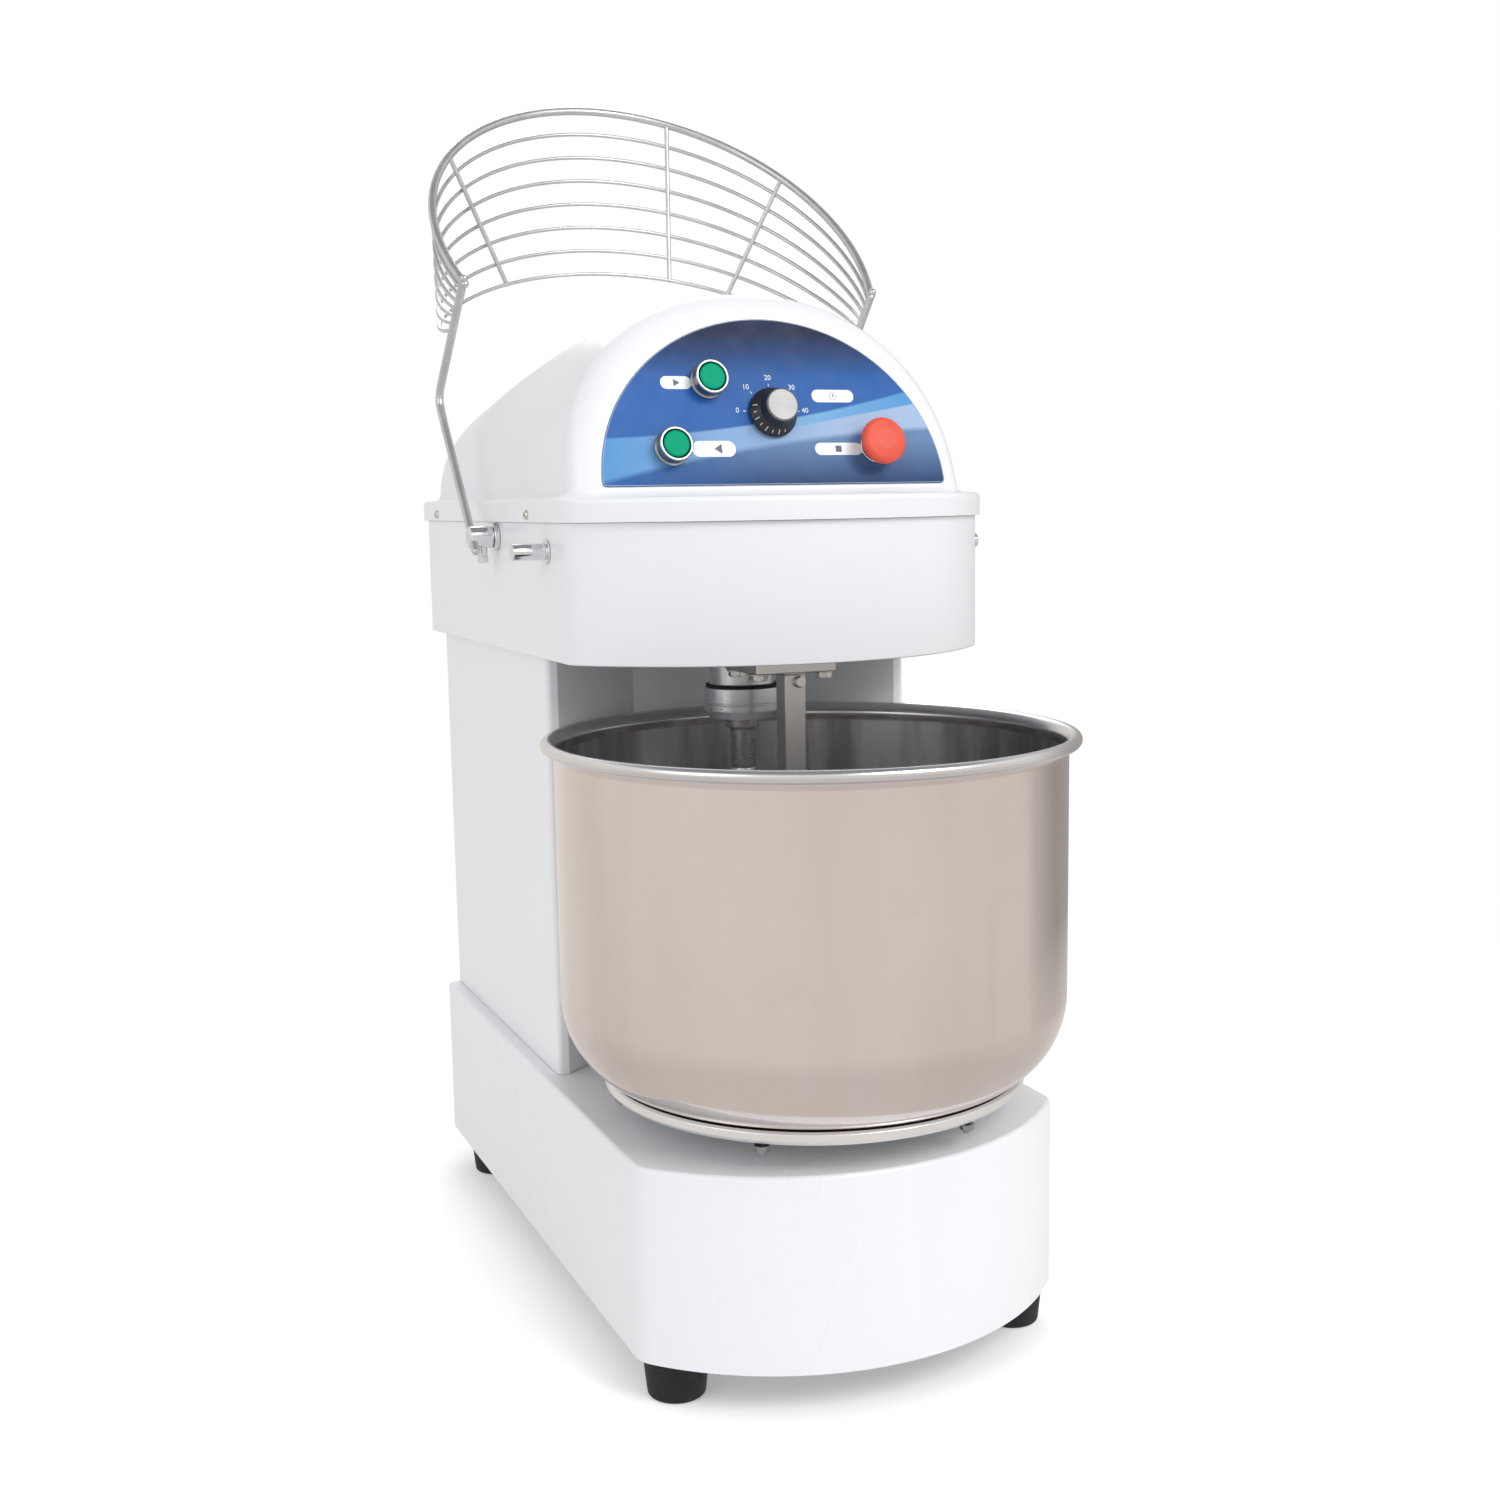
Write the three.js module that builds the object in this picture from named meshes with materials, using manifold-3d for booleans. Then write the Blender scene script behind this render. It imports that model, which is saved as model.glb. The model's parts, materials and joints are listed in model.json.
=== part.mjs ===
// Spiral dough mixer, floor standing, with a fixed bowl of about 30 litres.
// Millimetres, +Z up, front towards -Y. Origin: middle of the bounding box, on the floor.
import * as THREE from 'three';
import { mergeVertices } from 'three/addons/utils/BufferGeometryUtils.js';
import Module from 'manifold-3d';

const wasm = await Module();
wasm.setup();

// ---------- driving dimensions ----------
const GAP = 0.3;                 // clearance between neighbouring pieces
const SHEET = 2;                 // casing sheet thickness
const BASE_PLATE = 3;            // thickness of the base's floor
const THROUGH = 8;               // how far a cutting tool runs past a sheet
const BOWL_AXIS_Y = -162.4;      // bowl axis in the part's frame; sizes below are measured from it

const FOOT = { height: 34, topR: 26.5, bottomR: 22.5, x: 146, frontY: -62, rearY: 447 };
const BASE = { half: 178.5, cornerY: -71, sag: 84, rearY: 500, corner: 11, z0: 34, z1: 185 };
const BASE_HOLES = { bowl: 62, shaft: 30, cable: 9 };
const HEAD = { half: 178.3, cornerY: 49.5, sag: 90.5, rearY: 509, corner: 10, z0: 543, z1: 651 };
const HEAD_HOLES = { hookGap: 1.5, shaft: 14, motor: 20, pivot: 7.5 };
const COLUMN = { half: 166, lipHalf: 156, lipY: 157, flatHalf: 68, flatY: 220, rearY: 505, corner: 12 };
const REAR_COVER = {
  half: 140, z0: 202, z1: 532, thick: 1.5, lap: 15,
  columns: [-62, 62], slots: 9, slotHalf: 45, slotHeight: 5, pitch: 22, firstSlot: 76,
};
const FLANGE = { grow: 4, z0: 651.3, z1: 670, lip: 12, roof: 2.5 };
const DOME = {
  half: 171, height: 163, wall: 3, frontY: 53.9, frontZ: 677.6, rearY: 497, edge: 22, power: 2.2,
  levelTo: 110, fall: 3.4e-4,    // the crown is level up to this y, then falls with the distance squared
};
const LEAN = THREE.MathUtils.degToRad(15.7);      // backward lean of the dome's front face
const PANEL = { half: 148.5, height: 137, thick: 1.2, corner: 4 };
// Places on the panel: u across, w up the slope from its lower edge.
const CONTROLS = {
  start: { u: -51.1, w: 81.7, holeR: 11.3 },
  reverse: { u: -87.7, w: 27.3, holeR: 11.3 },
  stop: { u: 89.5, w: 27, holeR: 11.3 },
  timer: { u: 1.6, w: 59.3, holeR: 5.3 },
};
const PUSH = {
  bezelR: 14.5, rimR: 13.6, rimZ: 15, flangeZ: 4, boreR: 11.2, stemR: 4, capR: 10.4, capZ: 15.4,
};
const STOP = { collarR: 14, collarBore: 6.2, stemR: 5.8, r: 19, underZ: 13.4, topZ: 24.5 };
const STEM_DEPTH = 20;           // button stems behind the panel face
const KNOB = {
  stemR: 3, stemDepth: 12, skirtR: 20.4, skirtZ: 3.6, coneR: 15, coneZ: 12, capR: 13.7, topZ: 24.6,
};
const SWITCH = { halfU: 11, halfW: 15, front: -26, back: -56 };
const TIMER_BODY = { half: 19, front: -6, back: -50, boreR: 3.6, boreDepth: 20 };

const BOWL = { r: 200, rimR: 210, tubeR: 4.75, rimZ: 482, bottomZ: 211, cornerR: 72, wall: 2 };
const CARRIER = { boreR: 30, r: 167, footR: 158, z0: 203, footZ: 206.5, rimZ0: 211.5, rimZ1: 221, gap: 1.4 };
const SPINDLE = { r: 22, z0: 84, flangeR: 60, flangeZ: 196, z1: 202.6 };
const BOWL_HOUSING = { boreR: 41, r: 57, flangeR: 74, z0: 150, z1: 192 };

const HOOK = {
  y: 135, shaftR: 14, shaftTop: 612, neckR: 10.5, neckZ: 438, shoulderZ: 476,
  wireR: 11, coilR: 50.5, turns: 1.35, topZ: 391, lowZ: 236, taper: 26, taperFrom: 0.72,
};
const HOOK_HOUSING = {
  boreR: 24, r: 32.5, upperR: 27, z0: 484, seamZ: 496.7, ledgeZ: 510.3, sealTop: 513.2,
  flangeR: 44, flangeTop: 551, top: 588,
};
const BAR = { y: 35, side: 18, z0: 236, plateX: 69, plateFront: 23.4, plateDepth: 66, plateZ: 530 };

const COUNTER = { x: 0, y: 270, r: 10, z0: 41, z1: 618 };
const IDLER = { x: -85, y: 150, r: 10, z0: 41, z1: 162 };
const MOTOR = { y: 425, r: 68, z0: 262, z1: 490, shaftR: 9, shaftTop: 590 };
const PITCH = 12.7;              // chain pitch
const TEETH = { hook: 33, counterTop: 15, counterLow: 12, idlerBig: 36, idlerSmall: 12, bowl: 67 };
const LEVEL = { belt: 568, hookChain: 601, idlerChain: 140, bowlChain: 100 };
const PULLEY = { bigR: 100, smallR: 30, width: 22, groove: 7 };
const BELT = { thick: 6, height: 8 };
const BEARING = { flangeR: 30, r: 22, flange: 4 };
const BEARING_ENDS = {           // lower and upper end of every bearing
  bowl: [153, 188], hook: [492, 520], counterUpper: [545.4, 556], counterLower: [37.4, 54], idler: [37.4, 60],
};
const BRACKET = { half: 95, depth: 74, thick: 5.7, hangerX: 88, hangerHalf: 6, hangerDepth: 60, boreR: 14 };
const CONTACTOR = {
  plate: { x0: 160, x1: 163.6, y0: 245, y1: 365, z0: 290, z1: 480 },
  coil: { x0: 112, x1: 161, half: 22.5, z0: 340, z1: 418 }, coilYs: [275, 335],
};
const CABLE = { x: -120, z: 84, r: 4.5 };
const GLAND = { boreR: 5.6, threadR: 8, inside: 14, nutR: 13, nutZ: 7, capR: 10, capZ: 16 };
const CHAIN = { thick: 6, height: 8, clear: 1.8 };

const GUARD = {
  hingeY: 247.7, hingeZ: 638.4, openDeg: 138.2, rodR: 4, wireR: 2,
  half: 202, endHalf: 194, bendHalf: 197.4, armHalf: 200.6, armEnd: 14,
  rimDrop: 144.9, rimEnd: 163, rimFront: 451.8, bendBack: 166.5, bendDrop: 15.5,
  arcs: 7, arcStep: 14, endStep: 7.5, lastHalf: 197.3, lastFront: 322.5,
};
const CROSS_WIRES = [[-165, -108], [72, 62], [168, 118]];   // x at the rim and at the last arc
const STOP_PIN = { y: 101.1, z: 628.7, r: 6.6, length: 29, flangeR: 9.8, flange: 1.7 };
const BOSS = { r: 9.5, x0: 183.3, x1: 203.8, pinR: 6, pinX: 168, collarR: 12 };
const GUARD_SWITCH = { x0: -172, x1: -158, y0: 282, y1: 310, z0: 618, z1: 650 };

// ---------- materials ----------
function material(color, roughness, metalness) {
  return new THREE.MeshStandardMaterial({ color, roughness, metalness });
}

const WHITE = material(0xeceef1, 0.25, 0.0);
const STEEL = material(0xc8c2bc, 0.18, 1.0);
const CHROME = material(0xd0d3d6, 0.12, 1.0);
const WIRE = material(0xa9acb0, 0.3, 1.0);
const CAST = material(0xb9bcbf, 0.45, 0.9);
const DARK_STEEL = material(0x5a5c60, 0.45, 0.9);
const RUBBER = material(0x17181a, 0.8, 0.0);
const BLACK = material(0x1c1d20, 0.5, 0.0);
const PANEL_BLUE = material(0x24508f, 0.35, 0.0);
const GREEN = material(0x08ac84, 0.4, 0.0);
const RED = material(0xf26a54, 0.4, 0.0);
const MOTOR_BLUE = material(0x3a4a5c, 0.5, 0.3);

// ---------- solid helpers ----------
function toSolid(geometry) {
  const bare = geometry.clone();
  bare.deleteAttribute('normal');
  bare.deleteAttribute('uv');
  const merged = mergeVertices(bare, 1e-4);
  const vertProperties = new Float32Array(merged.attributes.position.array);
  const triVerts = new Uint32Array(merged.index.array);
  return new wasm.Manifold(new wasm.Mesh({ numProp: 3, vertProperties, triVerts }));
}

function toGeometry(solid) {
  const mesh = solid.getMesh();
  const geometry = new THREE.BufferGeometry();
  geometry.setAttribute('position', new THREE.BufferAttribute(mesh.vertProperties, 3));
  geometry.setIndex(new THREE.BufferAttribute(mesh.triVerts, 1));
  return geometry;
}

const join = (...parts) => toGeometry(parts.map(toSolid).reduce((a, b) => a.add(b)));
const cut = (body, ...tools) => toGeometry(tools.map(toSolid).reduce((a, b) => a.subtract(b), toSolid(body)));

// A prism of an XY outline between two heights.
function prism(shape, z0, z1, curveSegments = 8) {
  const geometry = new THREE.ExtrudeGeometry(shape, { depth: z1 - z0, bevelEnabled: false, curveSegments });
  return geometry.translate(0, 0, z0);
}

// A turned piece about +Z from a closed [radius, height] profile; the first point is repeated at the end
// unless the profile starts and ends on the axis.
function turned(profile, segments = 12) {
  const points = profile.map(([r, z]) => new THREE.Vector2(r, z));
  const onAxis = profile[0][0] === 0 && profile[profile.length - 1][0] === 0;
  if (!onAxis) points.push(points[0].clone());
  return new THREE.LatheGeometry(points, segments).rotateX(Math.PI / 2);
}

// Radius of a faceted hole that clears a round piece of radius r.
const around = (r) => r * 1.04 + GAP;
const ring = (inner, outer, z0, z1, n) => turned([[inner, z0], [outer, z0], [outer, z1], [inner, z1]], n);
const disc = (r, z0, z1, n) => turned([[0, z0], [r, z0], [r, z1], [0, z1]], n);
const box = (x0, x1, y0, y1, z0, z1) =>
  new THREE.BoxGeometry(x1 - x0, y1 - y0, z1 - z0).translate((x0 + x1) / 2, (y0 + y1) / 2, (z0 + z1) / 2);

// A round rod along a smooth curve through the points.
function rod(points, radius, steps = 20, sides = 8, tension = 0.5) {
  const path = new THREE.CatmullRomCurve3(points, false, 'catmullrom', tension);
  const section = new THREE.Shape();
  for (let i = 0; i < sides; i += 1) {
    const a = (2 * Math.PI * i) / sides;
    const [x, y] = [radius * Math.cos(a), radius * Math.sin(a)];
    if (i === 0) section.moveTo(x, y);
    else section.lineTo(x, y);
  }
  section.closePath();
  return new THREE.ExtrudeGeometry(section, { extrudePath: path, steps, bevelEnabled: false });
}

// A closed body through a row of matching rings, with flat fans at both ends. The rings run anticlockwise
// as seen by someone facing the first one.
function loft(rings) {
  const n = rings[0].length;
  const positions = rings.flat().flatMap((p) => [p.x, p.y, p.z]);
  const index = [];
  for (let k = 0; k + 1 < rings.length; k += 1) {
    for (let i = 0; i < n; i += 1) {
      const [a, b] = [k * n + i, k * n + ((i + 1) % n)];
      index.push(a, b + n, b, a, a + n, b + n);
    }
  }
  const cap = (start, flip) => {
    for (let i = 1; i + 1 < n; i += 1) {
      if (flip) index.push(start, start + i + 1, start + i);
      else index.push(start, start + i, start + i + 1);
    }
  };
  cap(0, false);
  cap((rings.length - 1) * n, true);
  const geometry = new THREE.BufferGeometry();
  geometry.setAttribute('position', new THREE.Float32BufferAttribute(positions, 3));
  geometry.setIndex(index);
  return geometry;
}

// ---------- outlines ----------
// Casing seen from above: bowed front, straight sides, rounded corners, moved inwards by inset.
function casingOutline(casing, inset) {
  const bowR = (casing.half ** 2 + casing.sag ** 2) / (2 * casing.sag);
  const centreY = casing.cornerY - casing.sag + bowR;
  const [w, r, rear] = [casing.half - inset, Math.max(casing.corner - inset, 1), casing.rearY - inset];
  const R = bowR - inset;
  const cornerY = centreY - Math.sqrt(R * R - w * w);
  const spread = Math.asin(w / R) - r / R;
  const shape = new THREE.Shape();
  const start = [-R * Math.sin(spread), centreY - R * Math.cos(spread)];
  shape.moveTo(-w, cornerY + r);
  shape.quadraticCurveTo(-w, cornerY, start[0], start[1]);
  shape.absarc(0, centreY, R, -Math.PI / 2 - spread, -Math.PI / 2 + spread, false);
  shape.quadraticCurveTo(w, cornerY, w, cornerY + r);
  shape.lineTo(w, rear - r);
  shape.quadraticCurveTo(w, rear, w - r, rear);
  shape.lineTo(-w + r, rear);
  shape.quadraticCurveTo(-w, rear, -w, rear - r);
  shape.closePath();
  return shape;
}

// Column seen from above: a U whose front is stepped back in three flats to clear the bowl.
function columnOutline(inset) {
  const c = COLUMN;
  const run = Math.hypot(c.lipHalf - c.flatHalf, c.flatY - c.lipY);
  const [nx, ny] = [(c.flatY - c.lipY) / run, (c.lipHalf - c.flatHalf) / run];
  const shift = (inset * (1 - ny)) / nx;
  const [w, r, rear] = [c.half - inset, c.corner - inset, c.rearY - inset];
  const [lipX, lipY] = [Math.min(c.lipHalf + shift - inset, w - 1), c.lipY + inset];
  const [flatX, flatY] = [c.flatHalf + shift, c.flatY + inset];
  const shape = new THREE.Shape();
  shape.moveTo(-w, lipY + r);
  shape.quadraticCurveTo(-w, lipY, -lipX, lipY);
  shape.lineTo(-flatX, flatY);
  shape.lineTo(flatX, flatY);
  shape.lineTo(lipX, lipY);
  shape.quadraticCurveTo(w, lipY, w, lipY + r);
  shape.lineTo(w, rear - r);
  shape.quadraticCurveTo(w, rear, w - r, rear);
  shape.lineTo(-w + r, rear);
  shape.quadraticCurveTo(-w, rear, -w, rear - r);
  shape.closePath();
  return shape;
}

// An endless loop of constant thickness round two pulleys or sprockets.
function loopAround(a, ra, b, rb, thick, z0, z1) {
  const angle = Math.atan2(b.y - a.y, b.x - a.x);
  const spread = Math.acos((ra - rb) / Math.hypot(b.x - a.x, b.y - a.y));
  const trace = (path, extra) => {
    path.absarc(a.x, a.y, ra + extra, angle + spread, angle - spread + 2 * Math.PI, false);
    path.absarc(b.x, b.y, rb + extra, angle - spread, angle + spread, false);
    path.closePath();
    return path;
  };
  const shape = trace(new THREE.Shape(), thick);
  shape.holes.push(trace(new THREE.Path(), 0));
  return prism(shape, z0, z1, 7);
}

const sprocketR = (teeth) => PITCH / (2 * Math.sin(Math.PI / teeth));

// ---------- casings ----------
function baseShell() {
  const outer = prism(casingOutline(BASE, 0), BASE.z0, BASE.z1);
  const inner = prism(casingOutline(BASE, SHEET), BASE.z0 - 1, BASE.z1 - SHEET);
  const [low, high] = [BASE.z1 - THROUGH, BASE.z1 + THROUGH];
  const bowlHole = disc(BASE_HOLES.bowl, low, high, 16);
  const shaftHole = disc(BASE_HOLES.shaft, low, high, 12).translate(COUNTER.x, COUNTER.y, 0);
  const cableHole = disc(BASE_HOLES.cable, -THROUGH, THROUGH, 12).rotateX(Math.PI / 2)
    .translate(CABLE.x, BASE.rearY, CABLE.z);
  return cut(outer, inner, bowlHole, shaftHole, cableHole);
}

const basePlate = () => prism(casingOutline(BASE, SHEET + GAP), BASE.z0, BASE.z0 + BASE_PLATE);

function foot() {
  const { height, topR, bottomR } = FOOT;
  const top = height - GAP;
  return turned([[0, 0], [bottomR - 2, 0], [bottomR, 2], [topR, top - 4], [topR, top], [0, top]], 18);
}

function columnShell() {
  const [z0, z1] = [BASE.z1 + GAP, HEAD.z0 - GAP];
  const outer = prism(columnOutline(0), z0, z1);
  const inner = prism(columnOutline(SHEET), z0 - 1, z1 + 1);
  const { half, lap, z0: coverZ0, z1: coverZ1 } = REAR_COVER;
  const rearOpening = box(-half + lap, half - lap, COLUMN.rearY - THROUGH, COLUMN.rearY + THROUGH,
    coverZ0 + lap, coverZ1 - lap);
  return cut(outer, inner, rearOpening);
}

function rearCover() {
  const c = REAR_COVER;
  const y0 = COLUMN.rearY + GAP;
  const slots = [];
  for (const x of c.columns) {
    for (let i = 0; i < c.slots; i += 1) {
      const z = c.z0 + c.firstSlot + i * c.pitch;
      slots.push(box(x - c.slotHalf, x + c.slotHalf, y0 - THROUGH, y0 + THROUGH, z, z + c.slotHeight));
    }
  }
  return cut(box(-c.half, c.half, y0, y0 + c.thick, c.z0, c.z1), ...slots);
}

function headShell() {
  const outer = prism(casingOutline(HEAD, 0), HEAD.z0, HEAD.z1);
  const inner = prism(casingOutline(HEAD, SHEET), HEAD.z0 + SHEET, HEAD.z1 + 1);
  const hole = (r, y) => disc(r, HEAD.z0 - THROUGH, HEAD.z0 + THROUGH, 16).translate(0, y, 0);
  const pivotHole = disc(HEAD_HOLES.pivot, -HEAD.half - THROUGH, HEAD.half + THROUGH, 12)
    .rotateY(Math.PI / 2).translate(0, GUARD.hingeY, GUARD.hingeZ);
  const holes = [
    hole(HOOK_HOUSING.upperR + HEAD_HOLES.hookGap, HOOK.y),
    hole(HEAD_HOLES.shaft, COUNTER.y),
    hole(HEAD_HOLES.motor, MOTOR.y),
  ];
  return cut(outer, inner, pivotHole, ...holes);
}

// One arch-shaped section of the dome: y and z follow the leaning front, u runs over the arch.
function domeRing(y, lean, half, height, baseZ, n) {
  const points = [];
  for (let i = 0; i <= n; i += 1) {
    const a = (Math.PI * i) / n;
    const x = half * Math.sign(Math.cos(a)) * Math.abs(Math.cos(a)) ** (2 / DOME.power);
    const z = height * Math.max(0, Math.sin(a)) ** (2 / DOME.power);
    points.push(new THREE.Vector3(x, y + lean * z, baseZ + z));
  }
  return points;
}

// The dome's crown falls gently towards the rear; its front and rear edges are rounded.
function domeBody(inset, baseZ, arch, steps, bodySteps) {
  const front = DOME.frontY + inset - (DOME.frontZ - baseZ) * Math.tan(LEAN);
  const rear = DOME.rearY - inset;
  const rings = [];
  const crown = (y) => DOME.height - inset - DOME.fall * Math.max(0, y - DOME.levelTo) ** 2;
  const add = (y, t, shrink) => {
    const lean = Math.tan(LEAN) * (1 - t);
    rings.push(domeRing(y, lean, DOME.half - inset - shrink, crown(y) - shrink, baseZ, arch));
  };
  const edge = DOME.edge - inset;
  for (let i = 0; i < steps; i += 1) {
    const a = (Math.PI / 2) * (i / steps);
    add(front + edge * (1 - Math.cos(a)), 0, edge * (1 - Math.sin(a)));
  }
  for (let i = 0; i <= bodySteps; i += 1) {
    const t = i / bodySteps;
    add(front + edge + (rear - front - 2 * edge) * t, t, 0);
  }
  for (let i = 1; i <= steps; i += 1) {
    const a = (Math.PI / 2) * (i / steps);
    add(rear - edge + edge * Math.sin(a), 1, edge * (1 - Math.cos(a)));
  }
  return loft(rings);
}

function topCover() {
  const flange = prism(casingOutline(HEAD, -FLANGE.grow), FLANGE.z0, FLANGE.z1);
  const hollowFlange = prism(casingOutline(HEAD, FLANGE.lip), FLANGE.z0 - 1, FLANGE.z1 - FLANGE.roof);
  const panelHoles = Object.values(CONTROLS).map((c) => onPanel(disc(c.holeR, -12, THROUGH, 16), c));
  const shell = join(flange, domeBody(0, FLANGE.z1 - 1, 20, 3, 5));
  const cavity = domeBody(DOME.wall, FLANGE.z1 - FLANGE.roof - 1.5, 14, 2, 4);
  return cut(shell, hollowFlange, cavity, ...panelHoles);
}

// ---------- control panel ----------
// Puts a piece drawn about +Z, as if it stood on the panel's face, at its place on the leaning face.
const onPanel = (geometry, { u, w }) => geometry.translate(u, w, 0)
  .rotateX(Math.PI / 2 - LEAN).translate(0, DOME.frontY, DOME.frontZ);

function controlPanel() {
  const { half, height, corner } = PANEL;
  const outline = new THREE.Shape();
  const low = Math.asin(corner / height);
  outline.moveTo(-half + corner, 0);
  outline.lineTo(half - corner, 0);
  outline.quadraticCurveTo(half, 0, half * Math.cos(low), corner);
  outline.absellipse(0, 0, half, height, low, Math.PI - low, false, 0);
  outline.quadraticCurveTo(-half, 0, -half + corner, 0);
  const sheet = prism(outline, GAP, GAP + PANEL.thick, 12);
  const hole = ({ u, w, holeR }) => disc(holeR, -THROUGH, THROUGH, 16).translate(u, w, 0);
  const holes = Object.values(CONTROLS).map(hole);
  return onPanel(cut(sheet, ...holes), { u: 0, w: 0 });
}

const PANEL_TOP = GAP + PANEL.thick + GAP;

// Ring round a push button: a wide foot on the panel and a tall collar.
function bezel() {
  const { bezelR, rimR, rimZ, flangeZ, boreR } = PUSH;
  return turned([
    [boreR, PANEL_TOP], [bezelR, PANEL_TOP], [bezelR, flangeZ], [rimR, flangeZ + 1], [rimR, rimZ],
    [boreR, rimZ],
  ], 18);
}

function pushCap() {
  const { stemR, capR, capZ } = PUSH;
  return turned([
    [0, -STEM_DEPTH], [stemR, -STEM_DEPTH], [stemR, 5], [capR, 5], [capR, capZ - 0.6], [capR - 1, capZ],
    [0, capZ],
  ], 18);
}

function stopCollar() {
  const { collarR: r, collarBore: bore } = STOP;
  return turned([[bore, PANEL_TOP], [r, PANEL_TOP], [r, 5], [r - 2, 8], [bore, 8]], 18);
}

function stopCap() {
  const { stemR, r, underZ, topZ } = STOP;
  return turned([
    [0, -STEM_DEPTH], [stemR, -STEM_DEPTH], [stemR, underZ - 0.6], [r - 1.5, underZ], [r, underZ + 2],
    [r, topZ - 4.4], [r - 2.5, topZ - 1], [0, topZ],
  ], 20);
}

function switchBlock() {
  const { halfU, halfW, front, back } = SWITCH;
  return box(-halfU, halfU, -halfW, halfW, back, front);
}

function timerBody() {
  const { half, front, back, boreR, boreDepth } = TIMER_BODY;
  return cut(box(-half, half, -half, half, back, front), disc(boreR, -boreDepth, 0, 16));
}

// Knob with a wide skirt, a cone and a narrower grip.
function timerKnob() {
  const { stemR, stemDepth, skirtR, skirtZ, coneR, coneZ, capR, topZ } = KNOB;
  return turned([
    [0, -stemDepth], [stemR, -stemDepth], [stemR, skirtZ], [skirtR, skirtZ], [skirtR, skirtZ + 2],
    [coneR, coneZ], [capR, topZ - 1], [capR - 0.6, topZ], [0, topZ],
  ], 20);
}

// ---------- bowl and its drive ----------
// Profile points on the round lower corner of the bowl, or on a round parallel to it.
function cornerArc(radius, centreZ, from, to, steps) {
  const points = [];
  for (let i = 0; i <= steps; i += 1) {
    const a = from + ((to - from) * i) / steps;
    points.push([BOWL.r - BOWL.cornerR + radius * Math.cos(a), centreZ - radius * Math.sin(a)]);
  }
  return points;
}

function bowl() {
  const { r, rimR, tubeR, rimZ, bottomZ, cornerR, wall } = BOWL;
  const centreZ = bottomZ + cornerR;
  const tube = [];
  for (let i = 0; i <= 6; i += 1) {
    const a = -2.2 + (i * (Math.PI + 1.2)) / 6;
    tube.push([rimR - tubeR + tubeR * Math.cos(a), rimZ + tubeR * Math.sin(a)]);
  }
  return turned([
    [0, bottomZ],
    ...cornerArc(cornerR, centreZ, Math.PI / 2, 0, 5),
    [r, rimZ - 10],
    ...tube,
    [r - wall, rimZ],
    ...cornerArc(cornerR - wall, centreZ, 0, Math.PI / 2, 5),
    [0, bottomZ + wall],
  ], 36);
}

// Cast carrier that cups the bowl's corner and bolts to the spindle flange.
function bowlCarrier() {
  const c = CARRIER;
  const centreZ = BOWL.bottomZ + BOWL.cornerR;
  const cupR = BOWL.cornerR + c.gap;
  const top = Math.asin((centreZ - c.rimZ1) / cupR);
  return turned([
    [c.boreR, c.z0], [c.footR, c.footZ], [c.r, c.rimZ0], [c.r, c.rimZ1 - 0.6],
    ...cornerArc(cupR, centreZ, top, Math.PI / 2, 4),
    [c.boreR, BOWL.bottomZ - GAP],
  ], 24);
}

function bowlSpindle() {
  const { r, z0, flangeR, flangeZ, z1 } = SPINDLE;
  return turned([[0, z0], [r, z0], [r, flangeZ], [flangeR, flangeZ], [flangeR, z1], [0, z1]], 18);
}

// Bearing housing that hangs through the base's top on a flange.
function bowlHousing() {
  const { boreR, r, flangeR, z0, z1 } = BOWL_HOUSING;
  const seat = BASE.z1 + GAP + 0.1;
  return turned([[boreR, z0], [r, z0], [r, seat], [flangeR, seat], [flangeR, z1], [boreR, z1]], 20);
}

const bearing = (inner, outer, [z0, z1]) => ring(around(inner), outer - 1.5, z0, z1, 16);

// A toothed wheel: tips at the pitch circle, so that the chain loop wraps it with clearance.
function sprocket(teeth, boreR, z) {
  const tip = sprocketR(teeth);
  const root = tip - 4.5;
  const shape = new THREE.Shape();
  for (let i = 0; i < teeth; i += 1) {
    const a = (2 * Math.PI * i) / teeth;
    const b = (2 * Math.PI * (i + 0.5)) / teeth;
    if (i === 0) shape.moveTo(tip * Math.cos(a), tip * Math.sin(a));
    else shape.lineTo(tip * Math.cos(a), tip * Math.sin(a));
    shape.lineTo(root * Math.cos(b), root * Math.sin(b));
  }
  shape.closePath();
  const bore = new THREE.Path();
  bore.absarc(0, 0, boreR, 0, 2 * Math.PI, true);
  shape.holes.push(bore);
  return prism(shape, z - CHAIN.height / 2, z + CHAIN.height / 2, 8);
}

function chainLoop(a, teethA, b, teethB, z) {
  const ra = sprocketR(teethA) + CHAIN.clear;
  const rb = sprocketR(teethB) + CHAIN.clear;
  return loopAround(a, ra, b, rb, CHAIN.thick, z - CHAIN.height / 2, z + CHAIN.height / 2);
}

// V-belt pulley with one groove, keyed to its shaft.
function pulley(outerR, boreR) {
  const half = PULLEY.width / 2;
  const z = LEVEL.belt;
  const floor = outerR - PULLEY.groove - 1;
  return turned([
    [around(boreR), z - half], [outerR, z - half], [outerR, z - 7], [floor, z - 5],
    [floor, z + 5], [outerR, z + 7], [outerR, z + half], [around(boreR), z + half],
  ], 14);
}

// The belt's inner face clears both groove floors.
function driveBelt() {
  const seat = PULLEY.groove - 1;
  const motorAxis = { x: 0, y: MOTOR.y };
  const [z0, z1] = [LEVEL.belt - BELT.height / 2, LEVEL.belt + BELT.height / 2];
  return loopAround(COUNTER, PULLEY.bigR - seat, motorAxis, PULLEY.smallR - seat, BELT.thick, z0, z1);
}

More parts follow.
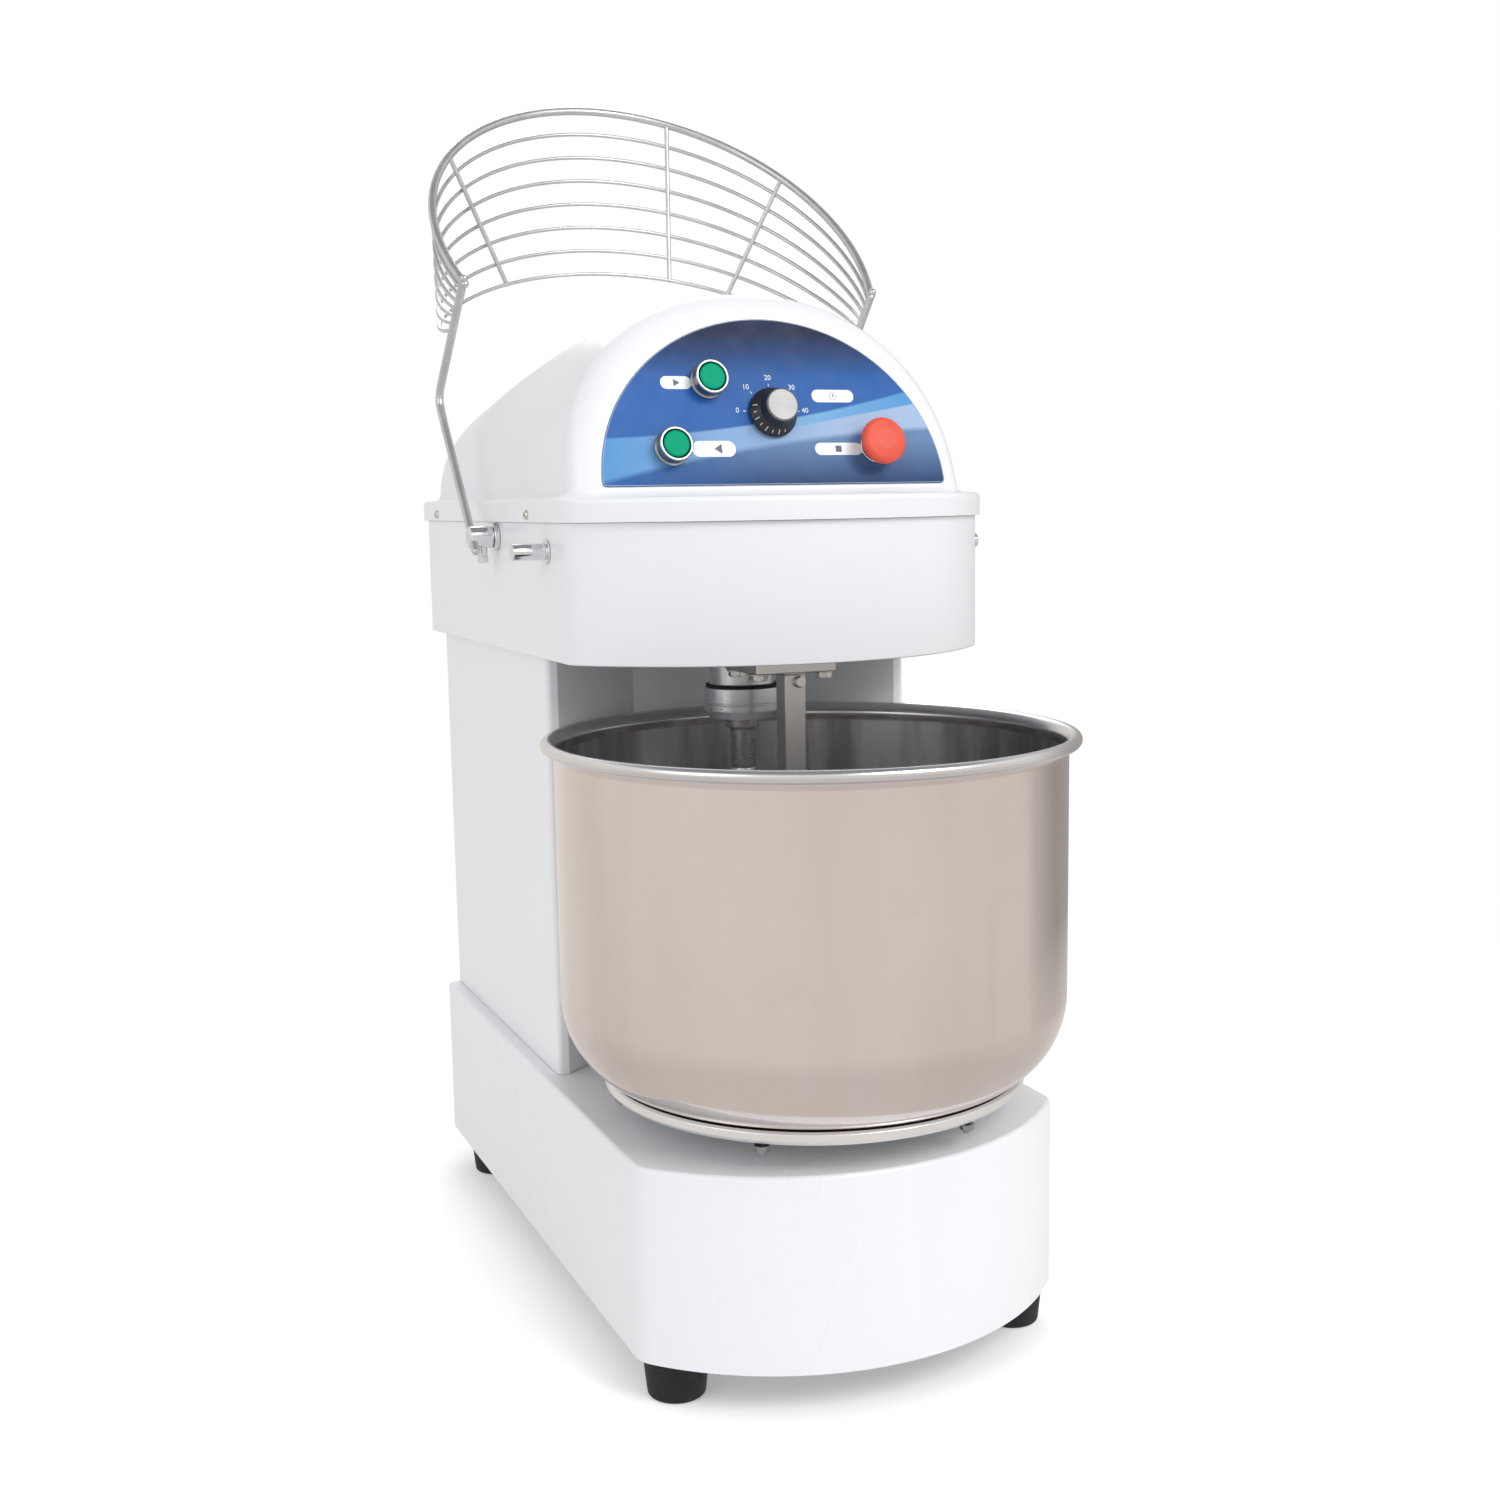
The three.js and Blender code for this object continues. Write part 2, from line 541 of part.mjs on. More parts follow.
// ---------- hook, bar and shafts ----------
// Bearing tube through the head's floor, with a wider cap below that has a seam and a step.
function hookHousing() {
  const { boreR, r, upperR, z0, seamZ, ledgeZ, sealTop, flangeR, flangeTop, top } = HOOK_HOUSING;
  const seat = HEAD.z0 + SHEET + GAP + 0.1;
  return turned([
    [boreR, z0], [r - 4, z0], [r, z0 + 6], [r, seamZ - 0.6], [r - 1, seamZ], [r, seamZ + 0.6], [r, ledgeZ],
    [r - 2, ledgeZ + 0.4], [r - 2, sealTop], [upperR, sealTop + 0.4], [upperR, seat], [flangeR, seat],
    [flangeR, flangeTop], [upperR, flangeTop], [upperR, top], [boreR, top],
  ], 14);
}

// Driven shaft, crank and more than one turn of round bar, tapering in towards the axis below.
function spiralHook() {
  const { shaftR, shaftTop, neckR, neckZ, shoulderZ } = HOOK;
  const { wireR, coilR, turns, topZ, lowZ, taper, taperFrom } = HOOK;
  const shaft = turned([
    [0, neckZ - 30], [neckR, neckZ - 30], [neckR, shoulderZ - 2], [shaftR, shoulderZ], [shaftR, shaftTop],
    [0, shaftTop],
  ], 12);
  const coil = [];
  const steps = 14;
  for (let i = 0; i <= steps; i += 1) {
    const t = i / steps;
    const a = Math.PI + 2 * Math.PI * turns * t;
    const r = coilR - (taper * Math.max(0, t - taperFrom)) / (1 - taperFrom);
    coil.push(new THREE.Vector3(r * Math.cos(a), r * Math.sin(a), topZ + (lowZ - topZ) * t));
  }
  const lead = [
    new THREE.Vector3(0, 0, neckZ),
    new THREE.Vector3(-6, 3, neckZ - 18),
    new THREE.Vector3(-34, 8, neckZ - 34),
  ];
  return join(shaft, rod([...lead, ...coil], wireR, 40, 8));
}

function doughBar() {
  const half = BAR.side / 2;
  const post = box(-half, half, BAR.y - half, BAR.y + half, BAR.z0, BAR.plateZ + 4);
  const plate = box(-BAR.plateX / 2, BAR.plateX / 2, BAR.plateFront, BAR.plateFront + BAR.plateDepth,
    BAR.plateZ, HEAD.z0 - GAP);
  return join(post, plate);
}

const shaft = (r, z0, z1) => disc(r, z0, z1, 16);
const pinionShaft = ({ r, z0, z1 }, teeth, z) => join(shaft(r, z0, z1), sprocket(teeth, r - 2, z));

function flangedBearing(r, [z0, z1]) {
  const step = z0 + BEARING.flange;
  return turned([
    [around(r), z0], [BEARING.flangeR, z0], [BEARING.flangeR, step], [BEARING.r, step], [BEARING.r, z1],
    [around(r), z1],
  ]);
}

// ---------- motor and electrics ----------
function motorHousing() {
  const { r, z0, z1, shaftR } = MOTOR;
  return turned([
    [0, z0], [r - 14, z0], [r - 4, z0 + 6], [r - 4, z0 + 34], [r, z0 + 36],
    [r, z1 - 24], [r - 6, z1 - 20], [r - 10, z1],
    [shaftR + 4, z1], [shaftR + 4, z0 + 30], [0, z0 + 30],
  ]);
}

function motorBracket() {
  const { half, depth, thick, hangerX, hangerHalf, hangerDepth, boreR } = BRACKET;
  const [z0, y] = [MOTOR.z1 + GAP, MOTOR.y];
  const plate = box(-half, half, y - depth, y + depth, z0, z0 + thick);
  const hangers = [-hangerX, hangerX].map((x) => box(x - hangerHalf, x + hangerHalf,
    y - hangerDepth, y + hangerDepth, z0 + thick - 1, HEAD.z0 - GAP));
  return cut(join(plate, ...hangers), disc(boreR, z0 - THROUGH, z0 + THROUGH + thick, 16).translate(0, y, 0));
}

// Two interlocked contactors on a common backplate, screwed to the column's right wall.
function reversingContactor() {
  const { plate: p, coil: c, coilYs } = CONTACTOR;
  const coils = coilYs.map((y) => box(c.x0, c.x1, y - c.half, y + c.half, c.z0, c.z1));
  return join(box(p.x0, p.x1, p.y0, p.y1, p.z0, p.z1), ...coils);
}

function cableGland() {
  const { boreR, threadR, inside, nutR, nutZ, capR, capZ } = GLAND;
  return turned([
    [boreR, -inside], [threadR, -inside], [threadR, GAP], [nutR, GAP], [nutR, nutZ], [capR, capZ],
    [boreR, capZ],
  ]).rotateX(-Math.PI / 2).translate(CABLE.x, BASE.rearY, CABLE.z);
}

function powerCable() {
  const { x, z } = CABLE;
  const y = BASE.rearY;
  const points = [
    [x, y - 30, z], [x, y - 6, z], [x, y + 18, z], [x, y + 29, z - 10], [x, y + 30, 36],
    [x + 8, y + 28, 14], [x + 34, y + 24, 8], [x + 170, y + 24, 8],
  ];
  return rod(points.map((p) => new THREE.Vector3(...p)), CABLE.r, 22, 6);
}

// ---------- guard ----------
// Guard coordinates: hinge axis at the origin, shape as closed (rim level); the group is turned to open.
// The arcs are evenly spaced at the front and draw together where they meet the side bars.
function guardArc(half, endX, endY, frontY, endZ, frontZ) {
  const spread = Math.acos(Math.min(1, endX / half));
  const depth = (endY - frontY) / (1 + Math.sin(spread));
  const centreY = frontY + depth;
  const points = [];
  const n = 16;
  for (let i = 0; i <= n; i += 1) {
    const a = -spread + ((Math.PI + 2 * spread) * i) / n;
    const forward = (Math.sin(a) + Math.sin(spread)) / (1 + Math.sin(spread));
    const z = frontZ + (endZ - frontZ) * (1 - forward) ** 3;
    points.push(new THREE.Vector3(half * Math.cos(a), centreY - depth * Math.sin(a), z));
  }
  return points;
}

// Arc number k of the grid; 0 is the rim and GUARD.arcs the last arc.
function guardRow(k) {
  const g = GUARD;
  const t = k / g.arcs;
  const climb = (k * g.endStep) / (g.rimDrop - g.bendDrop);
  const endX = THREE.MathUtils.lerp(g.endHalf, g.bendHalf, climb);
  const endY = -THREE.MathUtils.lerp(g.rimEnd, g.bendBack, climb);
  const half = Math.max(THREE.MathUtils.lerp(g.half, g.lastHalf, t), endX);
  const front = -THREE.MathUtils.lerp(g.rimFront, g.lastFront, t);
  return guardArc(half, endX, endY, front, k * g.endStep - g.rimDrop, k * g.arcStep - g.rimDrop);
}

// Point of a row at a given x, on its front side.
function onRow(k, x) {
  const row = guardRow(k);
  const i = row.findIndex((p, j) => j > 0 && p.x <= x);
  const [p, q] = [row[i - 1], row[i]];
  return p.clone().lerp(q, (p.x - x) / (p.x - q.x));
}

function guardFrame() {
  const g = GUARD;
  const parts = [rod(guardRow(0), g.rodR, 20, 6)];
  for (let k = 1; k <= g.arcs; k += 1) parts.push(rod(guardRow(k), g.wireR, 16, 4));
  for (const side of [-1, 1]) parts.push(guardArm(side, g.rodR));
  for (const [rimX, lastX] of CROSS_WIRES) {
    parts.push(rod([onRow(0, rimX), onRow(g.arcs, lastX)], g.wireR + 0.3, 1, 4));
  }
  return join(...parts);
}

// Side bar and arm in one rod: up from the rim's end, a tight bend, then back through the hinge boss.
function guardArm(side, radius) {
  const g = GUARD;
  const corner = new THREE.Vector3(side * g.endHalf, -g.rimEnd + 3, -g.rimDrop - 4);
  const bend = new THREE.Vector3(side * g.bendHalf, -g.bendBack, -g.bendDrop);
  const end = new THREE.Vector3(side * g.armHalf, g.armEnd, 0);
  const nearBend = bend.clone().lerp(end, 0.04);
  const underBend = bend.clone().lerp(corner, 0.05);
  return rod([corner, underBend, nearBend, end], radius, 9, 6, 0.12);
}

// Round boss, cross-drilled for the arm, with its pivot pin running into the head.
function guardBoss(side) {
  const { r, x0, x1, pinR, pinX } = BOSS;
  const body = turned([[0, pinX], [pinR, pinX], [pinR, x0], [r, x0], [r, x1 - 1], [r - 1, x1], [0, x1]], 20);
  return cut(body.rotateY((side * Math.PI) / 2), guardArm(side, GUARD.rodR + GAP));
}

const hingeCollar = (side) => ring(around(BOSS.pinR), BOSS.collarR, HEAD.half + GAP, BOSS.x0 - GAP, 18)
  .rotateY((side * Math.PI) / 2);

function stopPin(side) {
  const { r, length, flangeR, flange } = STOP_PIN;
  const [x0, x1] = [HEAD.half + GAP, HEAD.half + length];
  return turned([
    [0, x0], [flangeR, x0], [flangeR, x0 + flange], [r, x0 + flange], [r, x1 - 1], [r - 1, x1], [0, x1],
  ], 16).rotateY((side * Math.PI) / 2);
}

function guardSwitch() {
  const s = GUARD_SWITCH;
  return box(s.x0, s.x1, s.y0, s.y1, s.z0, s.z1);
}

// ---------- assembly ----------
const mixer = new THREE.Group();
const fromBowlAxis = new THREE.Group();
fromBowlAxis.position.y = BOWL_AXIS_Y;
mixer.add(fromBowlAxis);

function place(name, geometry, look, at = [0, 0, 0], parent = fromBowlAxis) {
  const mesh = new THREE.Mesh(geometry, look);
  mesh.name = name;
  mesh.position.set(...at);
  parent.add(mesh);
}

place('base_shell', baseShell(), WHITE);
place('base_plate', basePlate(), DARK_STEEL);
place('foot_front_left', foot(), RUBBER, [-FOOT.x, FOOT.frontY, 0]);
place('foot_front_right', foot(), RUBBER, [FOOT.x, FOOT.frontY, 0]);
place('foot_rear_left', foot(), RUBBER, [-FOOT.x, FOOT.rearY, 0]);
place('foot_rear_right', foot(), RUBBER, [FOOT.x, FOOT.rearY, 0]);
place('column_shell', columnShell(), WHITE);
place('rear_cover', rearCover(), WHITE);
place('head_shell', headShell(), WHITE);
place('top_cover', topCover(), WHITE);

place('control_panel', controlPanel(), PANEL_BLUE);
for (const name of ['start', 'reverse']) {
  place(`${name}_bezel`, onPanel(bezel(), CONTROLS[name]), CHROME);
  place(`${name}_button`, onPanel(pushCap(), CONTROLS[name]), GREEN);
  place(`${name}_switch`, onPanel(switchBlock(), CONTROLS[name]), BLACK);
}
place('stop_collar', onPanel(stopCollar(), CONTROLS.stop), CHROME);
place('stop_button', onPanel(stopCap(), CONTROLS.stop), RED);
place('stop_switch', onPanel(switchBlock(), CONTROLS.stop), BLACK);
place('timer_body', onPanel(timerBody(), CONTROLS.timer), BLACK);
place('timer_knob', onPanel(timerKnob(), CONTROLS.timer), BLACK);

const HOOK_AT = [0, HOOK.y, 0];
const COUNTER_AT = [COUNTER.x, COUNTER.y, 0];
const IDLER_AT = [IDLER.x, IDLER.y, 0];
const MOTOR_AT = [0, MOTOR.y, 0];

place('bowl', bowl(), STEEL);
place('bowl_carrier', bowlCarrier(), CAST);
place('bowl_spindle', bowlSpindle(), DARK_STEEL);
place('bowl_sprocket', sprocket(TEETH.bowl, around(SPINDLE.r), LEVEL.bowlChain), DARK_STEEL);
place('bowl_housing', bowlHousing(), CAST);
place('bowl_bearing', bearing(SPINDLE.r, BOWL_HOUSING.boreR, BEARING_ENDS.bowl), CHROME);

place('spiral_hook', spiralHook(), STEEL, HOOK_AT);
place('hook_housing', hookHousing(), CAST, HOOK_AT);
place('hook_bearing', bearing(HOOK.shaftR, HOOK_HOUSING.boreR, BEARING_ENDS.hook), CHROME, HOOK_AT);
place('hook_sprocket', sprocket(TEETH.hook, around(HOOK.shaftR), LEVEL.hookChain), DARK_STEEL, HOOK_AT);
place('dough_bar', doughBar(), STEEL);

const topSprocket = sprocket(TEETH.counterTop, around(COUNTER.r), LEVEL.hookChain);
place('countershaft', pinionShaft(COUNTER, TEETH.counterLow, LEVEL.idlerChain), DARK_STEEL, COUNTER_AT);
place('countershaft_pulley', pulley(PULLEY.bigR, COUNTER.r), DARK_STEEL, COUNTER_AT);
place('countershaft_sprocket', topSprocket, DARK_STEEL, COUNTER_AT);
for (const [name, ends] of [['upper', BEARING_ENDS.counterUpper], ['lower', BEARING_ENDS.counterLower]]) {
  place(`countershaft_bearing_${name}`, flangedBearing(COUNTER.r, ends), CAST, COUNTER_AT);
}
place('idler_shaft', pinionShaft(IDLER, TEETH.idlerSmall, LEVEL.bowlChain), DARK_STEEL, IDLER_AT);
place('idler_sprocket', sprocket(TEETH.idlerBig, around(IDLER.r), LEVEL.idlerChain), DARK_STEEL, IDLER_AT);
place('idler_bearing', flangedBearing(IDLER.r, BEARING_ENDS.idler), CAST, IDLER_AT);

const hookPoint = { x: 0, y: HOOK.y };
const bowlPoint = { x: 0, y: 0 };
const hookChain = chainLoop(hookPoint, TEETH.hook, COUNTER, TEETH.counterTop, LEVEL.hookChain);
const idlerChain = chainLoop(IDLER, TEETH.idlerBig, COUNTER, TEETH.counterLow, LEVEL.idlerChain);
const bowlChain = chainLoop(bowlPoint, TEETH.bowl, IDLER, TEETH.idlerSmall, LEVEL.bowlChain);
place('hook_chain', hookChain, DARK_STEEL);
place('idler_chain', idlerChain, DARK_STEEL);
place('bowl_chain', bowlChain, DARK_STEEL);
place('drive_belt', driveBelt(), RUBBER);

place('motor_housing', motorHousing(), MOTOR_BLUE, MOTOR_AT);
place('motor_shaft', shaft(MOTOR.shaftR, MOTOR.z0 + 31, MOTOR.shaftTop), DARK_STEEL, MOTOR_AT);
place('motor_pulley', pulley(PULLEY.smallR, MOTOR.shaftR), DARK_STEEL, MOTOR_AT);
place('motor_bracket', motorBracket(), DARK_STEEL);
place('reversing_contactor', reversingContactor(), BLACK);
place('power_cable', powerCable(), RUBBER);
place('cable_gland', cableGland(), BLACK);

const guard = new THREE.Group();
guard.position.set(0, GUARD.hingeY, GUARD.hingeZ);
guard.rotation.x = -THREE.MathUtils.degToRad(GUARD.openDeg);
fromBowlAxis.add(guard);
place('guard_grid', guardFrame(), WIRE, [0, 0, 0], guard);
place('guard_boss_left', guardBoss(-1), CHROME, [0, 0, 0], guard);
place('guard_boss_right', guardBoss(1), CHROME, [0, 0, 0], guard);
for (const [name, side] of [['left', -1], ['right', 1]]) {
  place(`hinge_collar_${name}`, hingeCollar(side), CHROME, [0, GUARD.hingeY, GUARD.hingeZ]);
  place(`stop_pin_${name}`, stopPin(side), CHROME, [0, STOP_PIN.y, STOP_PIN.z]);
}
place('guard_switch', guardSwitch(), BLACK);

export default mixer;
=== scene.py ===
"""Looks of the spiral dough mixer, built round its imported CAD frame.

The row frame is +Z up with the front towards -Y. Places come from the CAD boxes and joints. Mesh sizes
below are in millimetres, and add_piece() turns them into metres."""
import json
import math
import bmesh
import bpy
from mathutils import Matrix, Vector

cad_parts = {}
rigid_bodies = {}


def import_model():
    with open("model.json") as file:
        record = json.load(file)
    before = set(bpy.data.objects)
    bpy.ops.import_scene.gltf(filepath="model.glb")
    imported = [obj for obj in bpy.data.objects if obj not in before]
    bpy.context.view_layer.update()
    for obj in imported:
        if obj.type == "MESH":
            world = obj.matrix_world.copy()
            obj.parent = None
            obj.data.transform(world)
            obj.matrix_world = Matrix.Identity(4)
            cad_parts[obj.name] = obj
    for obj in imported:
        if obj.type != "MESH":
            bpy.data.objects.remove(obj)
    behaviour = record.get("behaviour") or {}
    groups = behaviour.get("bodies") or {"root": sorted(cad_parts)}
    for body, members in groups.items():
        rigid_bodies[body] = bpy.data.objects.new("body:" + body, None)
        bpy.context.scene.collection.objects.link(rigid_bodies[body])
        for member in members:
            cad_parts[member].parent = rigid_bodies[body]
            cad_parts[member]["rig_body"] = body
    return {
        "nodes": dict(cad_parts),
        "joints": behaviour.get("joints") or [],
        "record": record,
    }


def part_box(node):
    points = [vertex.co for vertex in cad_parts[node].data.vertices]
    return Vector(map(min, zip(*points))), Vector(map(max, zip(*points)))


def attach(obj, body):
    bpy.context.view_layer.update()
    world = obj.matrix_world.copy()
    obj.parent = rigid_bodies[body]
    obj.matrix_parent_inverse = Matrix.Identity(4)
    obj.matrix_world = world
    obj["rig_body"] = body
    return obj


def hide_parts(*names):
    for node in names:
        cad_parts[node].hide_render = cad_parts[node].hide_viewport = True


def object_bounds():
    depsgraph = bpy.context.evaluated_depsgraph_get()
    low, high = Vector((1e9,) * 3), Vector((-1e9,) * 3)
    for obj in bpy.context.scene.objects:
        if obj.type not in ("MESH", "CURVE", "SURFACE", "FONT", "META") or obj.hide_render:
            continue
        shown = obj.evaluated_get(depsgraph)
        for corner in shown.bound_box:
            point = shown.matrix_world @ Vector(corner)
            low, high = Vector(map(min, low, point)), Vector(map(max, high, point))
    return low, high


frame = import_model()
cad_low, cad_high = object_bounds()

MM = 0.001
X_AXIS = Vector((1, 0, 0))


# ---------- places taken from the frame ----------
def box_mm(node):
    """Lowest and highest corner of a CAD node, in millimetres."""
    low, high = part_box(node)
    return low / MM, high / MM


def centre_mm(node):
    low, high = box_mm(node)
    return (low + high) / 2


def joint(name):
    return next(j for j in frame["joints"] if j["name"] == name)


def body_of_node(node):
    return frame["nodes"][node]["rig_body"]


BOWL_Y = joint("bowl_spin")["pos_m"][1] / MM
HOOK_Y = joint("hook_spin")["pos_m"][1] / MM
COUNTER_Y = joint("countershaft_spin")["pos_m"][1] / MM
MOTOR_Y = joint("motor_spin")["pos_m"][1] / MM
HINGE = Vector(joint("guard_swing")["pos_m"]) / MM
PANEL_NORMAL = -Vector(joint("timer_turn")["axis"]).normalized()
PANEL_UP = PANEL_NORMAL.cross(X_AXIS).normalized()
TIMER_POINT = Vector(joint("timer_turn")["pos_m"]) / MM
PANEL_ORIGIN = TIMER_POINT - PANEL_UP * ((TIMER_POINT.z - box_mm("control_panel")[0].z) / PANEL_UP.z)
LEAN = math.atan2(PANEL_UP.y, PANEL_UP.z)

# ---------- driving sizes (mm) ----------
SHEET = 2
CASING_CORNER = 10
BASE_SAG = 84
HEAD_SAG = 90.5
FLANGE_GROW = 4
FLANGE_TOP = 670
FLANGE_LIP = 12
DOME = {"half": 171, "height": 163, "front": 53.9, "front_z": 677.6, "edge": 22, "power": 2.2,
        "rear_gap": 12, "level": 110, "fall": 3.4e-4, "wall": 3}
PANEL = {"half": 148.5, "height": 137, "thick": 1.2, "lift": 0.3, "corner": 4}
BOWL = {"r": 200, "tube": 4.75, "corner": 72, "wall": 2}
GUARD = {"open_deg": 138.2, "rod": 3.6, "wire": 1.8, "half": 202, "end_half": 194, "bend_half": 197.4,
         "arm_half": 200.6, "arm_end": 17, "rim_drop": 144.9, "rim_end": 163, "rim_front": 451.8,
         "bend_back": 166.5, "bend_drop": 15.5, "arcs": 7, "arc_step": 14, "end_step": 7.5,
         "last_half": 197.3, "last_front": 322.5}
CROSS_WIRES = ((-165, -108), (72, 62), (168, 118))
HOOK = {"shaft": 14, "neck": 10.5, "neck_z": 438, "shoulder": 476, "bar": 11, "coil": 50.5, "turns": 1.35,
        "top": 391, "low": 236, "taper": 26, "taper_from": 0.72}
# shade_ring is the top of a black ring on the ledge, painted shade for the shadowed top edge of the
# housing's lower part.
HOUSING = {"bore": 24, "r": 32.5, "upper": 27, "seam": 12.7, "ledge": 26.3, "shade_ring": 29.2, "seat": 545.4,
           "flange": 44, "flange_top": 551}
BAR = {"y": 35, "half": 9, "plate_z": 530, "bolt_x": 28, "bolt_edge": 10}
COLUMN = {"lip": 156, "flat": 68, "step": 63, "corner": 8, "inner": 4, "rear": 10}
LOUVRES = {"columns": (-62, 62), "count": 9, "pitch": 22, "first": 76, "half": 45, "slot": 5, "hood": 8}
COVER_SCREW = (4.2, 2.6)
FLANGE_SCREW = (4.0, 2.4)
FLANGE_SCREW_YS = (141, 446)
BUTTON_HOLE = 11.3
STEM_HOLE = 5.3
CARRIER_BOLTS = {"count": 6, "circle": 157, "first_deg": -39}
DIAL = {"radius": 29.6, "steps": 4, "first_deg": 175, "sweep_deg": 170, "tick": (22.4, 24.6), "text": 6}
PILLS = {"start": (-92, -66, 78, 88.5), "reverse": (-72, -35, 23, 36), "timer": (37, 74.5, 68, 78.6),
         "stop": (34, 76, 24, 34.2)}
CABLE = {"r": 4.5, "drop": 29, "floor_z": 8, "run": 170}
BOSS_R = 9.5
PANEL_FACE = PANEL["lift"] + PANEL["thick"]


# ---------- meshes ----------
def loft(rings, loop=False, caps=True):
    """Quads between matching closed rings. loop joins the last ring to the first; caps fill the ends."""
    count = len(rings[0])
    points = [point for ring in rings for point in ring]
    faces = []
    spans = len(rings) if loop else len(rings) - 1
    for k in range(spans):
        near = k * count
        far = ((k + 1) % len(rings)) * count
        for i in range(count):
            j = (i + 1) % count
            faces.append((near + i, near + j, far + j, far + i))
    if caps and not loop:
        faces.append(tuple(reversed(range(count))))
        start = (len(rings) - 1) * count
        faces.append(tuple(range(start, start + count)))
    return points, faces


def merged(*meshes):
    points, faces = [], []
    for more_points, more_faces in meshes:
        start = len(points)
        points.extend(more_points)
        faces.extend(tuple(start + i for i in face) for face in more_faces)
    return points, faces


def moved(mesh, matrix):
    return [matrix @ Vector(p) for p in mesh[0]], mesh[1]


def shifted(mesh, x=0, y=0, z=0):
    return moved(mesh, Matrix.Translation((x, y, z)))


def round_corners(points, steps=4, closed=False):
    """Points with a fillet radius as their last value become arcs. Works in 2-D and in 3-D."""
    rounded = []
    last = len(points) - 1
    for i, (place, fillet) in enumerate(points):
        here = Vector(place).to_3d()
        if not fillet or (not closed and i in (0, last)):
            rounded.append(here)
            continue
        before = Vector(points[i - 1][0]).to_3d() - here
        after = Vector(points[(i + 1) % len(points)][0]).to_3d() - here
        half = before.angle(after) / 2
        reach = min(fillet / math.tan(half), 0.49 * before.length, 0.49 * after.length)
        radius = reach * math.tan(half)
        centre = here + (before.normalized() + after.normalized()).normalized() * (radius / math.sin(half))
        start = here + before.normalized() * reach - centre
        end = here + after.normalized() * reach - centre
        axis = start.cross(end).normalized()
        sweep = start.angle(end)
        for k in range(steps + 1):
            rounded.append(centre + Matrix.Rotation(sweep * k / steps, 3, axis) @ start)
    return rounded


def turned(profile, segments=96, steps=4):
    """A turned body about local Z from (radius, height) or (radius, height, fillet) points.
    It closes on the axis if the profile starts and ends there, and is a ring if not."""
    on_axis = profile[0][0] == 0 and profile[-1][0] == 0
    outline = [((p[0], p[1]), p[2] if len(p) > 2 else 0) for p in profile]
    outline = round_corners(outline, steps, closed=not on_axis)
    if on_axis:
        outline = outline[1:-1]
    angles = [2 * math.pi * i / segments for i in range(segments)]
    rings = [[Vector((p.x * math.cos(a), p.x * math.sin(a), p.y)) for a in angles] for p in outline]
    if not on_axis:
        return loft(rings, loop=True)
    points, faces = loft(rings, caps=False)
    for height, ring, flip in ((profile[0][1], 0, True), (profile[-1][1], len(rings) - 1, False)):
        pole = len(points)
        points.append(Vector((0, 0, height)))
        for i in range(segments):
            a = ring * segments + i
            b = ring * segments + (i + 1) % segments
            faces.append((b, a, pole) if flip else (a, b, pole))
    return points, faces


def tube(path, radius, sides=16, closed=False, end_steps=3):
    """A round bar along a path, with rounded ends. radius is a number or a function of the way's share."""
    radius_at = radius if callable(radius) else lambda share: radius
    count = len(path)
    tangents = []
    for i in range(count):
        ahead = path[(i + 1) % count] if closed or i + 1 < count else path[i]
        behind = path[i - 1] if closed or i > 0 else path[i]
        tangents.append((ahead - behind).normalized())
    side = tangents[0].orthogonal().normalized()
    stations = []
    for i, tangent in enumerate(tangents):
        side = (side - tangent * side.dot(tangent)).normalized()
        stations.append((path[i], side, tangent.cross(side), radius_at(i / (count - 1))))
    if not closed:
        stations = rounded_ends(stations, tangents, end_steps)
    rings = []
    for centre, u, v, r in stations:
        angles = [2 * math.pi * k / sides for k in range(sides)]
        rings.append([centre + (u * math.cos(a) + v * math.sin(a)) * r for a in angles])
    return loft(rings, loop=closed)


def rounded_ends(stations, tangents, steps):
    """Adds shrinking rings beyond both ends of a tube, as a half ball."""
    angles = [(math.pi / 2) * k / (steps + 0.5) for k in range(1, steps + 1)]
    first, last = stations[0], stations[-1]
    head = [(first[0] - tangents[0] * first[3] * math.sin(a), first[1], first[2], first[3] * math.cos(a))
            for a in reversed(angles)]
    tail = [(last[0] + tangents[-1] * last[3] * math.sin(a), last[1], last[2], last[3] * math.cos(a))
            for a in angles]
    return head + stations + tail


def smooth_path(points, per_span=8, tension=0.5):
    """A cardinal spline through the points."""
    path = []
    padded = [2 * points[0] - points[1]] + list(points) + [2 * points[-1] - points[-2]]
    for i in range(1, len(padded) - 2):
        before, here, there, after = padded[i - 1:i + 3]
        pull_here = (there - before) * tension
        pull_there = (after - here) * tension
        for k in range(per_span):
            t = k / per_span
            path.append(here * (2 * t ** 3 - 3 * t ** 2 + 1) + pull_here * (t ** 3 - 2 * t ** 2 + t)
                        + there * (3 * t ** 2 - 2 * t ** 3) + pull_there * (t ** 3 - t ** 2))
    path.append(Vector(points[-1]))
    return path


def inset(outline, amount):
    """A closed anticlockwise outline moved inwards, corner by corner."""
    result = []
    count = len(outline)
    for i in range(count):
        before = (outline[i] - outline[i - 1]).normalized()
        after = (outline[(i + 1) % count] - outline[i]).normalized()
        normal = Vector((-before.y - after.y, before.x + after.x, 0)).normalized()
        stretch = max(0.4, normal.dot(Vector((-before.y, before.x, 0))))
        result.append(outline[i] + normal * (amount / stretch))
    return result


def slab(outline, z0, z1, edge=0.4, steps=3):
    """A plate with rounded upper and lower edges."""
    rings = []
    for start, end, sign in ((z0, 0, 1), (z1, 1, -1)):
        rounds = range(steps + 1) if end == 0 else reversed(range(steps + 1))
        for k in rounds:
            a = (math.pi / 2) * k / steps
            lift = edge * (1 - math.cos(a))
            ring = inset(outline, edge * (1 - math.sin(a)))
            rings.append([Vector((p.x, p.y, start + sign * lift)) for p in ring])
    return loft(rings)


